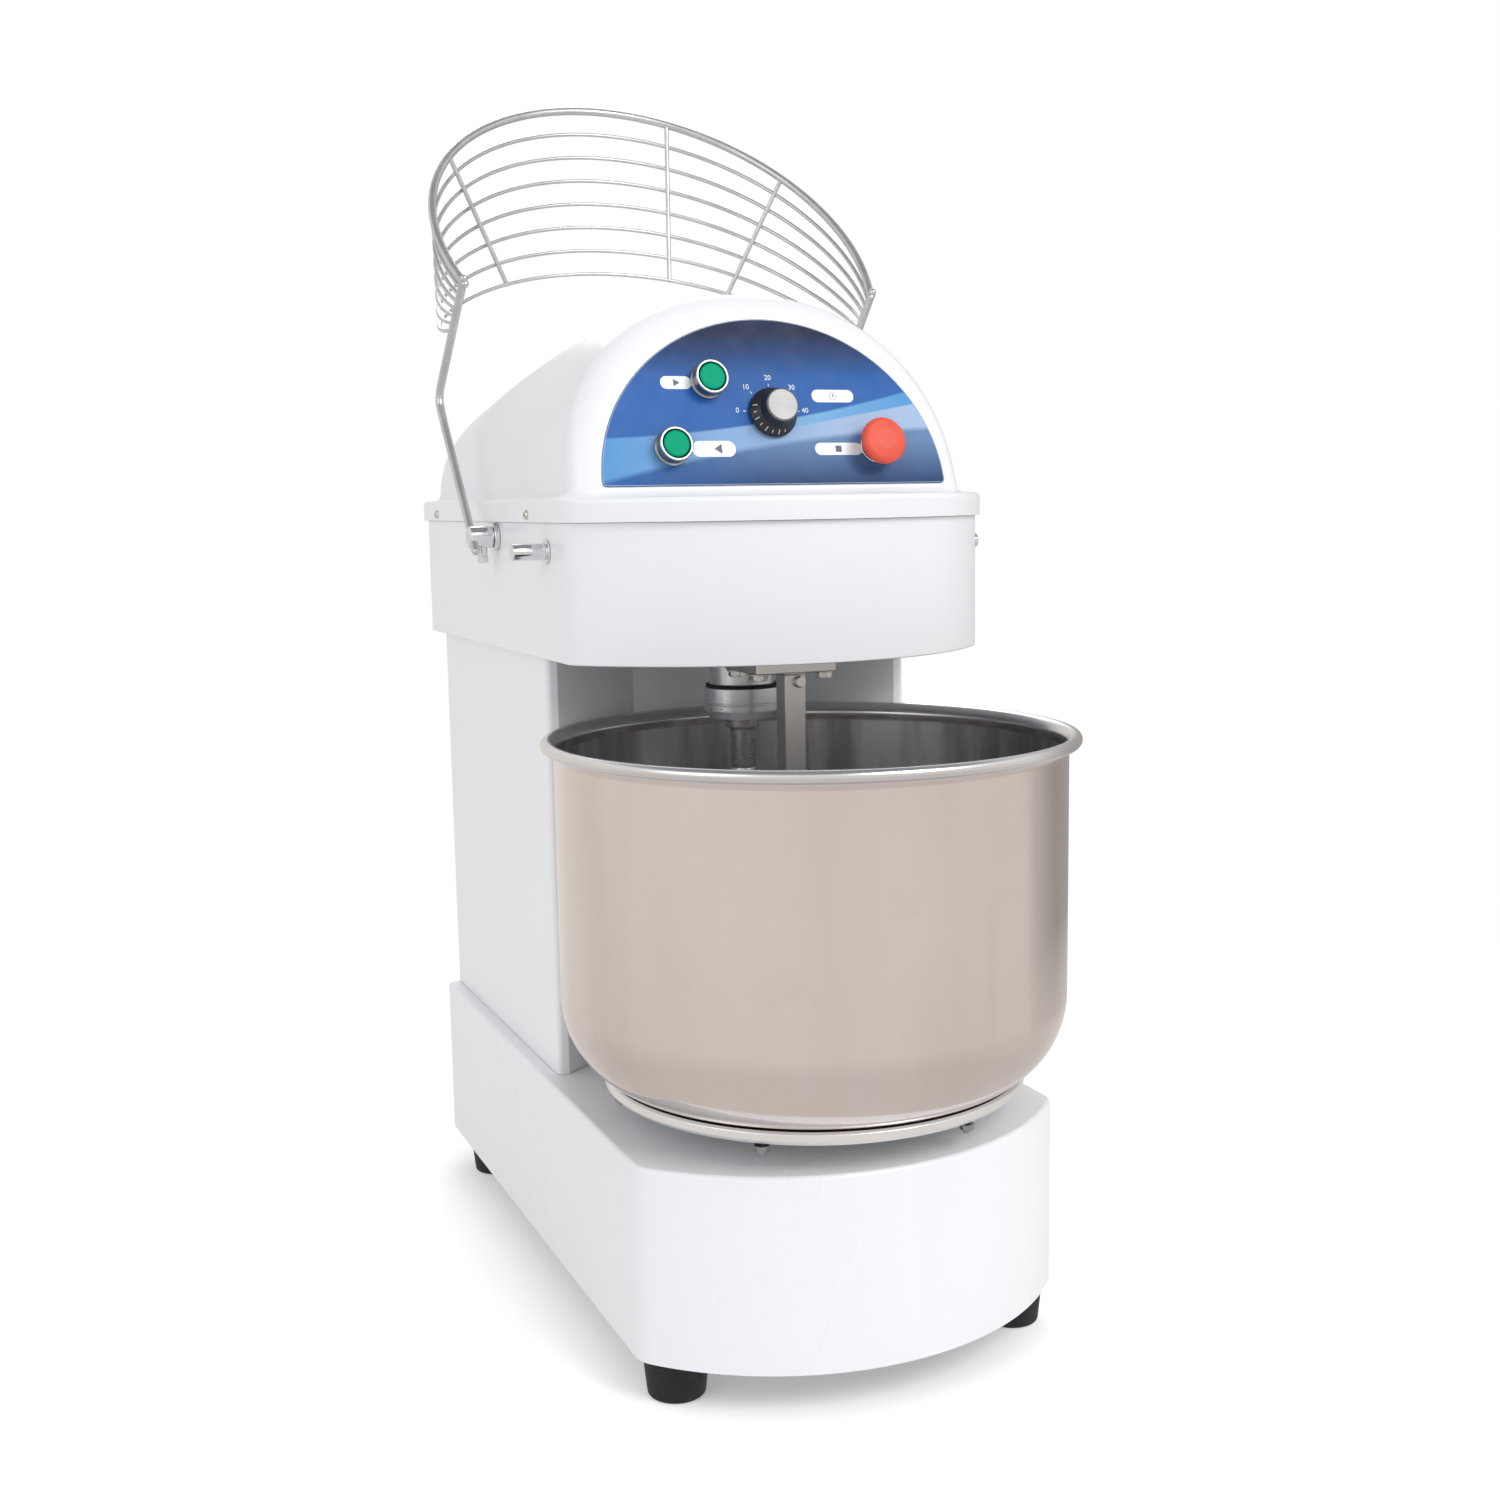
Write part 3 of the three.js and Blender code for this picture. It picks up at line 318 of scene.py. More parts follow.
def rounded_polygon(corners, fillet, steps=5):
    return round_corners([(corner, fillet) for corner in corners], steps, closed=True)


def rectangle(x0, x1, y0, y1, fillet, steps=5):
    return rounded_polygon([(x0, y0), (x1, y0), (x1, y1), (x0, y1)], fillet, steps)


def block(x0, x1, y0, y1, z0, z1, edge=1.0):
    """A block with every edge rounded."""
    return slab(rectangle(x0, x1, y0, y1, edge, 3), z0, z1, edge)


def circle(radius, count=48, x=0, y=0):
    angles = [2 * math.pi * i / count for i in range(count)]
    return [Vector((x + radius * math.cos(a), y + radius * math.sin(a), 0)) for a in angles]


def cylinder(radius, z0, z1, count=48):
    """A plain cutter."""
    rings = [[Vector((p.x, p.y, z)) for p in circle(radius, count)] for z in (z0, z1)]
    return loft(rings)


# ---------- objects ----------
def bare_object(name, mesh):
    data = bpy.data.meshes.new(name)
    data.from_pydata([Vector(p) * MM for p in mesh[0]], [], mesh[1])
    tidy = bmesh.new()
    tidy.from_mesh(data)
    bmesh.ops.remove_doubles(tidy, verts=tidy.verts, dist=2e-6)
    bmesh.ops.recalc_face_normals(tidy, faces=tidy.faces)
    tidy.to_mesh(data)
    tidy.free()
    thing = bpy.data.objects.new(name, data)
    bpy.context.scene.collection.objects.link(thing)
    return thing


def shade(thing, sharp_deg):
    thing.data.shade_smooth()
    thing.data.set_sharp_from_angle(angle=math.radians(sharp_deg))


def carve(thing, cutters, operation="DIFFERENCE"):
    """Cuts or joins plain meshes, and keeps the result as the object's own mesh."""
    tools = []
    for mesh in cutters:
        tool = bare_object("cutter", mesh)
        tools.append(tool)
        change = thing.modifiers.new("change", "BOOLEAN")
        change.object = tool
        change.operation = operation
        change.solver = "MANIFOLD"
    graph = bpy.context.evaluated_depsgraph_get()
    result = bpy.data.meshes.new_from_object(thing.evaluated_get(graph))
    thing.modifiers.clear()
    thing.data = result
    for tool in tools:
        bpy.data.objects.remove(tool)


def add_piece(name, mesh, slot, node=None, body=None, at=None, look=None, sharp=35, cutters=(), joins=()):
    """Makes one piece with its material, and rides it on a body or on the CAD node that it stands for."""
    thing = bare_object(name, mesh)
    if joins:
        carve(thing, joins, "UNION")
    if cutters:
        carve(thing, cutters)
    shade(thing, sharp)
    normals = thing.modifiers.new("flat_faces", "WEIGHTED_NORMAL")
    normals.keep_sharp = True
    thing.data.materials.clear()
    thing.data.materials.append(look or LOOKS[slot])
    if at is not None:
        placed = at.copy()
        placed.translation *= MM
        thing.matrix_world = placed
    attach(thing, body or body_of_node(node))
    if node:
        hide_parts(node)


def upright(x, y, z=0):
    return Matrix.Translation((x, y, z))


def turned_to(place, degrees, axis="X"):
    return Matrix.Translation(place) @ Matrix.Rotation(math.radians(degrees), 4, axis)


def along_x(side, place):
    """Local Z points outwards along X on that side."""
    return turned_to(place, side * 90, "Y")


def on_panel(u=0, w=0, lift=0):
    """Local X runs across the panel, Y up its slope and Z out of it."""
    origin = PANEL_ORIGIN + X_AXIS * u + PANEL_UP * w + PANEL_NORMAL * lift
    turn = Matrix((X_AXIS, PANEL_UP, PANEL_NORMAL)).transposed()
    return Matrix.Translation(origin) @ turn.to_4x4()


# ---------- materials ----------
class Shader:
    """A small builder for one procedural material."""

    def __init__(self, name):
        self.material = bpy.data.materials.new(name)
        self.material.use_nodes = True
        self.tree = self.material.node_tree
        self.surface = self.tree.nodes["Principled BSDF"]
        coordinates = self.add("ShaderNodeTexCoord")
        self.place = coordinates.outputs["Object"]
        self.facing = coordinates.outputs["Normal"]

    def add(self, kind, inputs=None, **settings):
        node = self.tree.nodes.new(kind)
        for key, value in settings.items():
            setattr(node, key, value)
        for key, value in (inputs or {}).items():
            self.feed(node.inputs[key], value)
        return node

    def feed(self, socket, value):
        if isinstance(value, bpy.types.NodeSocket):
            self.tree.links.new(value, socket)
        elif isinstance(value, tuple) and len(value) == 3 and socket.type == "RGBA":
            socket.default_value = (*value, 1)
        else:
            socket.default_value = value

    def set(self, **inputs):
        for key, value in inputs.items():
            self.feed(self.surface.inputs[key.replace("_", " ").title().replace("Ior", "IOR")], value)

    def noise(self, scale, detail=3, rough=0.5, place=None):
        inputs = {"Vector": place or self.place, "Scale": scale, "Detail": detail, "Roughness": rough}
        return self.add("ShaderNodeTexNoise", inputs).outputs["Fac"]

    def stretched(self, scales):
        inputs = {"Vector": self.place, "Scale": scales}
        return self.add("ShaderNodeMapping", inputs).outputs["Vector"]

    def spun(self, round_scale, along_scale):
        """Coordinates that run round local Z, so that noise in them makes turned lines."""
        split = self.add("ShaderNodeSeparateXYZ", {0: self.place})
        x, y, z = split.outputs
        flat = self.add("ShaderNodeCombineXYZ", {0: x, 1: y})
        radius = self.add("ShaderNodeVectorMath", {0: flat.outputs[0]}, operation="LENGTH").outputs["Value"]
        angle = self.math("ARCTAN2", y, x)
        joined = self.add("ShaderNodeCombineXYZ", {0: self.math("MULTIPLY", angle, round_scale),
                                                   1: self.math("MULTIPLY", radius, along_scale),
                                                   2: self.math("MULTIPLY", z, along_scale)})
        return joined.outputs[0]

    def math(self, operation, a, b=0.0):
        return self.add("ShaderNodeMath", {0: a, 1: b}, operation=operation).outputs[0]

    def span(self, value, low=0, high=1, from_low=0.3, from_high=0.7):
        inputs = {"Value": value, "From Min": from_low, "From Max": from_high, "To Min": low,
                  "To Max": high}
        return self.add("ShaderNodeMapRange", inputs).outputs[0]

    def mix(self, share, first, second, blend="MIX"):
        node = self.add("ShaderNodeMix", data_type="RGBA", blend_type=blend)
        self.feed(node.inputs[0], share)
        self.feed(node.inputs[6], first)
        self.feed(node.inputs[7], second)
        return node.outputs[2]

    def bump(self, height, strength, distance, normal=None):
        inputs = {"Height": height, "Strength": strength, "Distance": distance}
        if normal:
            inputs["Normal"] = normal
        return self.add("ShaderNodeBump", inputs).outputs["Normal"]

    def edges(self):
        """Share that rises on convex edges."""
        pointed = self.add("ShaderNodeNewGeometry").outputs["Pointiness"]
        return self.span(pointed, 0, 1, 0.52, 0.6)

    def spin_highlight(self):
        """Stretches an anisotropic highlight round local Z."""
        tangent = self.add("ShaderNodeTangent", direction_type="RADIAL", axis="Z")
        self.feed(self.surface.inputs["Tangent"], tangent.outputs[0])


def white_paint():
    s = Shader("white_paint")
    cloud = s.span(s.noise(3, 2))
    dust = s.span(s.noise(55, 5, 0.65), 0, 1, 0.5, 0.85)
    color = s.mix(cloud, (0.845, 0.855, 0.875), (0.865, 0.873, 0.888))
    color = s.mix(s.math("MULTIPLY", dust, 0.005), color, (0.70, 0.70, 0.69))
    color = s.mix(s.math("MULTIPLY", s.edges(), 0.10), color, (0.94, 0.94, 0.95))
    peel = s.bump(s.noise(80, 2), 0.02, 0.0003)
    s.set(base_color=color, roughness=s.span(s.noise(6, 2), 0.26, 0.30, 0.1, 0.9), normal=peel,
          coat_weight=0.15, coat_roughness=0.1)
    return s.material


def steel(name, color, rough, spun=True, smudge=0.06, strength=0.05):
    """Turned or brushed steel: fine lines, slow clouds and a few stains."""
    s = Shader(name)
    lines = s.spun(1.2, 900) if spun else s.stretched((160, 160, 2200))
    grain = s.noise(1.0, 3, 0.6, lines)
    cloud = s.noise(9, 3)
    dark = tuple(0.9 * c for c in color)
    shade_color = s.mix(s.span(cloud), dark, color)
    stain = s.span(s.noise(24, 5, 0.7), 0, smudge * 3, 0.56, 0.8)
    shade_color = s.mix(stain, shade_color, tuple(0.6 * c for c in color))
    shade_color = s.mix(s.span(grain, 0, 0.10), shade_color, tuple(0.75 * c for c in color))
    roughness = s.math("ADD", s.span(grain, 0, 0.05), s.span(cloud, rough * 0.85, rough * 1.2))
    s.set(base_color=shade_color, metallic=1.0, roughness=roughness, normal=s.bump(grain, strength, 0.0001))
    return s.material


def bowl_steel():
    """Polished steel with circular polishing lines and wipe marks. Its warm tint, bands and streaks outside
    are painted reflection; the plain, darker grey inside with light streaks is painted shade and
    reflection.
    """
    s = Shader("bowl_steel")
    grain = s.noise(1.0, 4, 0.6, s.spun(2.2, 1400))
    wipes = s.noise(1.0, 4, 0.6, s.spun(1.4, 16))
    reflection_bands = s.noise(1.0, 3, 0.55, s.spun(1.1, 1.5))
    reflected_streaks = s.noise(1.0, 3, 0.6, s.spun(6, 3))
    # Painted reflection: a warm tint with lighter bands and light streaks outside, standing in for warm
    # surroundings mirrored in the steel.
    outside_reflection = s.mix(s.span(reflection_bands, 0, 1, 0.35, 0.65), (0.665, 0.60, 0.575), (0.775, 0.715, 0.685))
    outside_reflection = s.mix(s.span(reflected_streaks, 0, 0.35), outside_reflection, (0.80, 0.75, 0.73))
    # Painted shade: the inside is darker grey, with light streaks of painted reflection.
    inside = s.mix(s.span(reflected_streaks, 0, 1, 0.38, 0.62), (0.42, 0.42, 0.44), (0.78, 0.78, 0.80))
    rim = s.mix(s.span(wipes), (0.70, 0.70, 0.71), (0.78, 0.78, 0.79))
    axis = s.add("ShaderNodeVectorMath", {0: s.place, 1: (1, 1, 0)}, operation="MULTIPLY").outputs[0]
    away = s.add("ShaderNodeVectorMath", {0: axis, 1: s.facing}, operation="DOT_PRODUCT").outputs["Value"]
    floor = s.add("ShaderNodeSeparateXYZ", {0: s.facing}).outputs[2]
    height = s.add("ShaderNodeSeparateXYZ", {0: s.place}).outputs[2]
    inward = s.math("SUBTRACT", s.math("MULTIPLY", floor, 0.1), away)
    below_rim = s.span(height, 1, 0, 0.470, 0.474)
    is_inside = s.math("MULTIPLY", s.span(inward, 0, 1, -0.01, 0.01), below_rim)
    color = s.mix(is_inside, outside_reflection, inside)
    stain = s.span(s.noise(11, 6, 0.72), 0, 0.30, 0.56, 0.80)
    color = s.mix(stain, color, (0.56, 0.47, 0.39))
    on_rim = s.span(height, 0, 1, 0.474, 0.477)
    color = s.mix(on_rim, color, rim)
    smooth = s.math("ADD", s.span(wipes, 0.06, 0.10), s.math("MULTIPLY", is_inside, 0.25))
    smooth = s.math("ADD", smooth, s.math("MULTIPLY", on_rim, 0.14))
    normal = s.bump(s.noise(5, 1), 0.10, 0.004, s.bump(grain, 0.03, 0.00015))
    s.set(base_color=color, metallic=1.0, roughness=smooth, normal=normal, anisotropic=0.35)
    s.spin_highlight()
    return s.material


def chrome():
    s = Shader("chrome")
    haze = s.noise(70, 4, 0.6)
    scratch = s.noise(1.0, 2, 0.5, s.stretched((1800, 260, 260)))
    color = s.mix(s.span(haze), (0.72, 0.73, 0.75), (0.82, 0.83, 0.84))
    s.set(base_color=color, metallic=1.0, roughness=s.span(haze, 0.07, 0.16),
          normal=s.bump(scratch, 0.03, 0.0002))
    return s.material


def guard_wire():
    s = Shader("guard_wire")
    haze = s.noise(45, 4, 0.6)
    pits = s.noise(420, 2)
    color = s.mix(s.span(haze), (0.56, 0.57, 0.58), (0.66, 0.67, 0.68))
    color = s.mix(s.span(pits, 0, 0.10, 0.6, 0.8), color, (0.40, 0.40, 0.40))
    s.set(base_color=color, metallic=0.85, roughness=s.span(haze, 0.26, 0.40),
          normal=s.bump(pits, 0.08, 0.0003))
    return s.material


def cast_aluminium():
    s = Shader("cast_aluminium")
    grain = s.noise(900, 3, 0.7)
    cloud = s.noise(14, 3)
    rings = s.noise(1.0, 2, 0.5, s.spun(0.8, 700))
    color = s.mix(s.span(cloud), (0.66, 0.68, 0.70), (0.80, 0.82, 0.84))
    roughness = s.math("ADD", s.span(rings, 0, 0.08), s.span(cloud, 0.22, 0.32))
    normal = s.bump(grain, 0.08, 0.0002, s.bump(rings, 0.05, 0.0002))
    s.set(base_color=color, metallic=0.75, roughness=roughness, normal=normal)
    return s.material


def dark_steel():
    """Machined steel with an oily film."""
    s = Shader("dark_steel")
    film = s.noise(30, 4, 0.6)
    marks = s.noise(1.0, 3, 0.6, s.spun(1.0, 1100))
    color = s.mix(s.span(film), (0.10, 0.102, 0.108), (0.21, 0.212, 0.22))
    color = s.mix(s.math("MULTIPLY", s.edges(), 0.6), color, (0.42, 0.42, 0.43))
    s.set(base_color=color, metallic=0.9, roughness=s.span(film, 0.28, 0.5),
          normal=s.bump(marks, 0.06, 0.0002))
    return s.material


def rubber():
    s = Shader("rubber")
    grain = s.noise(700, 4, 0.7)
    dust = s.span(s.noise(35, 5, 0.65), 0, 0.35, 0.5, 0.75)
    color = s.mix(dust, (0.012, 0.012, 0.014), (0.07, 0.068, 0.066))
    s.set(base_color=color, roughness=s.span(grain, 0.55, 0.75), normal=s.bump(grain, 0.2, 0.0004),
          specular_ior_level=0.4)
    return s.material


def moulded_plastic(name, dark, light, rough, gloss=0.5):
    """Moulded plastic: fine grain, slow colour change and slightly worn edges."""
    s = Shader(name)
    cloud = s.noise(60, 3)
    grain = s.noise(1500, 2)
    worn = tuple(min(1, 1.3 * c + 0.02) for c in light)
    color = s.mix(s.span(cloud), dark, light)
    color = s.mix(s.math("MULTIPLY", s.edges(), 0.35), color, worn)
    s.set(base_color=color, roughness=s.span(cloud, rough * 0.85, rough * 1.2),
          normal=s.bump(grain, 0.08, 0.0002), specular_ior_level=gloss)
    return s.material


def motor_paint():
    s = Shader("motor_paint")
    orange_peel = s.noise(260, 3)
    cloud = s.noise(18, 4)
    color = s.mix(s.span(cloud), (0.030, 0.052, 0.082), (0.048, 0.078, 0.118))
    color = s.mix(s.math("MULTIPLY", s.edges(), 0.5), color, (0.25, 0.26, 0.28))
    s.set(base_color=color, roughness=s.span(cloud, 0.3, 0.48), normal=s.bump(orange_peel, 0.18, 0.0004))
    return s.material


def panel_print():
    """Printed front plate: navy to blue, with a pale band that sweeps up to the right."""
    s = Shader("panel_print")
    split = s.add("ShaderNodeSeparateXYZ", {0: s.place})
    u, w = split.outputs[0], split.outputs[1]

    def curve(level, slope, bend):
        """Height above the curve level + slope u + bend u squared, in metres."""
        line = s.math("ADD", s.math("MULTIPLY", u, slope), level)
        line = s.math("ADD", line, s.math("MULTIPLY", s.math("MULTIPLY", u, u), bend))
        return s.math("SUBTRACT", w, line)

    def above(height, soft=0.0008):
        return s.span(height, 0, 1, -soft, soft)

    sky = s.mix(s.span(w, 0, 1, 0.075, 0.112), (0.023, 0.122, 0.41), (0.014, 0.078, 0.27))
    sky = s.mix(s.span(w, 0, 1, 0.090, 0.126), sky, (0.006, 0.009, 0.036))
    sky = s.mix(s.span(s.noise(14, 3), 0, 0.15), sky, (0.022, 0.095, 0.32))
    left_to_right = s.span(u, 0, 1, -0.14, 0.06)
    band = s.mix(left_to_right, (0.09, 0.29, 0.60), (0.36, 0.49, 0.70))
    strip = s.mix(s.span(u, 0, 1, 0.02, 0.12), (0.20, 0.44, 0.70), (0.09, 0.30, 0.62))
    low = s.mix(s.span(w, 0, 1, 0.0, 0.036), (0.012, 0.042, 0.14), (0.125, 0.23, 0.42))
    low = s.mix(s.span(u, 1, 0, -0.14, 0.0), low, (0.016, 0.11, 0.36))
    top_curve = curve(0.0518, 0.157, 0.424)
    middle_curve = curve(0.0440, 0.180, 0.0)
    low_curve = curve(0.0330, 0.148, -0.37)
    color = s.mix(above(low_curve, 0.0022), low, band)
    in_strip = s.math("MULTIPLY", above(middle_curve), s.span(u, 0, 1, 0.0, 0.03))
    color = s.mix(in_strip, color, strip)
    color = s.mix(above(top_curve), color, sky)
    grain = s.noise(900, 2)
    s.set(base_color=color, roughness=s.span(s.noise(60, 3), 0.26, 0.38),
          normal=s.bump(grain, 0.05, 0.0002), specular_ior_level=0.12)
    return s.material


def print_ink(name, color):
    """Printed ink: slightly uneven, with a faint screen-print grain."""
    s = Shader(name)
    tone = s.mix(s.span(s.noise(160, 3)), tuple(0.92 * c for c in color), color)
    s.set(base_color=tone, roughness=s.span(s.noise(300, 2), 0.3, 0.45),
          normal=s.bump(s.noise(1200, 2), 0.05, 0.0001))
    return s.material


def spun_cap():
    """The knob's bright cap: lines turned round its middle give a cone-shaped highlight."""
    s = Shader("spun_cap")
    lines = s.noise(1.0, 2, 0.6, s.spun(0.5, 3000))
    color = s.mix(s.span(lines), (0.19, 0.19, 0.19), (0.27, 0.27, 0.27))
    s.set(base_color=color, metallic=1.0, roughness=s.span(lines, 0.34, 0.42),
          normal=s.bump(lines, 0.06, 0.0001), anisotropic=0.8)
    s.spin_highlight()
    return s.material


LOOKS = {
    "white_paint": white_paint(),
    "stainless": steel("stainless", (0.58, 0.56, 0.54), 0.24, spun=False, smudge=0.02, strength=0.015),
    "chrome": chrome(),
    "guard_wire": guard_wire(),
    "cast_aluminium": cast_aluminium(),
    "dark_steel": dark_steel(),
    "rubber": rubber(),
    "black_plastic": moulded_plastic("black_plastic", (0.010, 0.010, 0.012), (0.020, 0.020, 0.023), 0.38),
    "panel_print": panel_print(),
    "green_plastic": moulded_plastic("green_plastic", (0.0, 0.33, 0.17), (0.001, 0.38, 0.20), 0.40, 0.06),
    "red_plastic": moulded_plastic("red_plastic", (0.74, 0.095, 0.055), (0.82, 0.12, 0.068), 0.42, 0.25),
    "motor_paint": motor_paint(),
}
BOWL_STEEL = bowl_steel()
ZINC = steel("zinc_bolts", (0.70, 0.70, 0.68), 0.3, spun=False, smudge=0.08)
BEZEL_STEEL = steel("bezel_steel", (0.36, 0.37, 0.38), 0.3, smudge=0.02)
BAR_STEEL = steel("bar_steel", (0.66, 0.64, 0.62), 0.3, spun=False, smudge=0.03)
WHITE_INK = print_ink("white_ink", (0.86, 0.88, 0.91))
RING_STEEL = steel("ring_steel", (0.93, 0.94, 0.95), 0.34, smudge=0.02, strength=0.02)
BORDER_INK = print_ink("border_ink", (0.30, 0.37, 0.48))
NAVY_INK = print_ink("navy_ink", (0.035, 0.05, 0.12))
SPUN_CAP = spun_cap()


# ---------- casings ----------
def bezier(start, control, end, steps):
    """Points of a quadratic curve, without its first one."""
    start, control, end = Vector(start), Vector(control), Vector(end)
    return [start * (1 - t) ** 2 + control * (2 * t * (1 - t)) + end * t ** 2
            for t in (k / steps for k in range(1, steps + 1))]


def casing_outline(node, sag, amount, grow=0):
    """Seen from above: straight sides, rounded corners and a bowed front, moved inwards by amount."""
    low, high = box_mm(node)
    half, front, rear = high.x - grow, low.y + grow, high.y - grow
    bow = (half ** 2 + sag ** 2) / (2 * sag)
    centre_y = front + bow
    width, corner, back = half - amount, max(CASING_CORNER - amount, 1), rear - amount
    radius = bow - amount
    corner_y = centre_y - math.sqrt(radius ** 2 - width ** 2)
    spread = math.asin(width / radius) - corner / radius
    bow_steps = 48
    points = [Vector((-width, corner_y + corner))]
    bow_start = (-radius * math.sin(spread), centre_y - radius * math.cos(spread))
    points += bezier(points[-1], (-width, corner_y), bow_start, 8)
    for k in range(1, bow_steps + 1):
        a = spread * (2 * k / bow_steps - 1)
        points.append(Vector((radius * math.sin(a), centre_y - radius * math.cos(a))))
    points += bezier(points[-1], (width, corner_y), (width, corner_y + corner), 8)
    points.append(Vector((width, back - corner)))
    points += bezier(points[-1], (width, back), (width - corner, back), 8)
    points.append(Vector((-width + corner, back)))
    points += bezier(points[-1], (-width, back), (-width, back - corner), 8)
    return points


def casing_shell(node, sag, z_open, z_closed, fillet, thick, grow=0, steps=5):
    """A folded sheet box, open at z_open and closed with a rounded edge at z_closed."""
    sign = 1 if z_closed > z_open else -1

    def ring(amount, z):
        return [Vector((p.x, p.y, z)) for p in casing_outline(node, sag, amount - grow, grow)]

    def rounded_edge(offset, radius):
        rings = []
        for k in range(steps + 1):
            a = (math.pi / 2) * k / steps
            z = z_closed - sign * (offset + radius * (1 - math.sin(a)))
            rings.append(ring(offset + radius * (1 - math.cos(a)), z))
        return rings

    inner = list(reversed(rounded_edge(thick, max(fillet - thick, 0.6))))
    outer = rounded_edge(0, fillet)
    return loft(inner + [ring(thick, z_open), ring(0.2, z_open), ring(0, z_open + sign * 0.2)] + outer)


def build_base():
    low, high = box_mm("base_shell")
    gland = centre_mm("cable_gland")
    bearing_hole, shaft_hole, gland_hole, depth = 62, 30, 9, 30
    cuts = [shifted(cylinder(bearing_hole, high.z - 8, high.z + 8, 64), 0, BOWL_Y),
            shifted(cylinder(shaft_hole, high.z - 8, high.z + 8), 0, COUNTER_Y),
            moved(cylinder(gland_hole, -depth, depth), turned_to((gland.x, high.y, gland.z), 90))]
    shell = casing_shell("base_shell", BASE_SAG, low.z, high.z, 3.5, SHEET)
    add_piece("base_casing", shell, "white_paint", "base_shell", cutters=cuts)
    plate_low, plate_high = box_mm("base_plate")
    outline = casing_outline("base_plate", BASE_SAG, 0)
    plate = slab([p.to_3d() for p in outline], plate_low.z, plate_high.z, 0.5)
    add_piece("floor_plate", plate, "dark_steel", "base_plate")


def build_feet():
    for node in ("foot_front_left", "foot_front_right", "foot_rear_left", "foot_rear_right"):
        low, high = box_mm(node)
        middle = (low + high) / 2
        top, r = high.z, (high.x - low.x) / 2
        profile = [(0, 1.5), (14, 1.5), (15, 0, 0.8), (r - 4, 0, 3), (r - 1.2, top - 7, 2),
                   (r, top - 5, 0.8), (r, top, 1), (0, top)]
        add_piece(node.replace("foot", "rubber_foot"), turned(profile, 64), "rubber", node,
                  at=upright(middle.x, middle.y))


def column_outline(amount):
    """A U seen from above: its front is stepped back in three flats behind the bowl."""
    low, high = box_mm("column_shell")
    c = COLUMN
    right = [((c["flat"], low.y + c["step"]), c["inner"]), ((c["lip"], low.y), 1.5),
             ((high.x, low.y), c["corner"]), ((high.x, high.y), c["rear"])]
    left = [((-x, y), fillet) for (x, y), fillet in reversed(right)]
    corners = left[1:] + right + left[:1]
    return inset(round_corners(corners, 6, closed=True), amount)


def build_column():
    low, high = box_mm("column_shell")
    rings = [[Vector((p.x, p.y, z)) for p in column_outline(amount)]
             for amount, z in ((0.3, low.z), (0, low.z + 0.3), (0, high.z - 0.3), (0.3, high.z),
                               (SHEET, high.z), (SHEET, low.z))]
    cover_low, cover_high = box_mm("rear_cover")
    lap = 15
    opening = block(cover_low.x + lap, cover_high.x - lap, high.y - 8, high.y + 8,
                    cover_low.z + lap, cover_high.z - lap, 3)
    add_piece("column_casing", loft(rings, loop=True), "white_paint", "column_shell", cutters=[opening])


def louvre(width, height, depth):
    """A pressed hood, open below: a bulged strip that fades into the sheet at its ends and top."""
    rings = []
    across, around = 24, 8
    for k in range(across + 1):
        x = width * (k / across - 0.5)
        swell = (1 - abs(2 * k / across - 1) ** 6) ** 0.5
        outer, inner = [], []
        for i in range(around + 1):
            a = (math.pi / 2) * i / around
            out = depth * swell * math.cos(a)
            up = height * math.sin(a)
            outer.append(Vector((x, out + 0.15, up)))
            inner.append(Vector((x, max(out - 1.2, -0.6), up - 0.8 * math.sin(a))))
        rings.append(outer + list(reversed(inner)))
    return loft(rings)


def build_rear_cover():
    low, high = box_mm("rear_cover")
    v = LOUVRES
    outline = rectangle(low.x, high.x, low.z, high.z, 6)
    plate = moved(slab(outline, 0, high.y - low.y, 0.5), turned_to((0, high.y, 0), 90))
    cuts, hoods = [], []
    for x in v["columns"]:
        for i in range(v["count"]):
            z = low.z + v["first"] + i * v["pitch"]
            cuts.append(block(x - v["half"], x + v["half"], low.y - 3, high.y + 3, z, z + v["slot"], 1.5))
            hoods.append(shifted(louvre(2 * v["half"] + 6, v["hood"], 4.5), x, high.y - 0.3, z + 0.6))
    add_piece("rear_service_cover", plate, "white_paint", "rear_cover", cutters=[merged(*cuts)])
    add_piece("rear_cover_louvres", merged(*hoods), "white_paint", body="frame")
    margin = 9
    for i, (x, z) in enumerate([(x, z) for x in (low.x + margin, high.x - margin)
                                for z in (low.z + margin, (low.z + high.z) / 2, high.z - margin)]):
        add_screw(f"rear_cover_screw_{i + 1}", COVER_SCREW, turned_to((x, high.y, z), -90))


def build_head():
    low, high = box_mm("head_shell")
    holes = ((HOUSING["upper"] + 1.5, HOOK_Y, 64), (14, COUNTER_Y, 48), (20, MOTOR_Y, 48))
    cuts = [shifted(cylinder(radius, low.z - 8, low.z + 8, count), 0, y) for radius, y, count in holes]
    cuts.append(moved(cylinder(7.2, -200, 200), along_x(1, HINGE)))
    shell = casing_shell("head_shell", HEAD_SAG, high.z, low.z, 1.2, SHEET)
    add_piece("head_casing", shell, "white_paint", "head_shell", cutters=cuts)


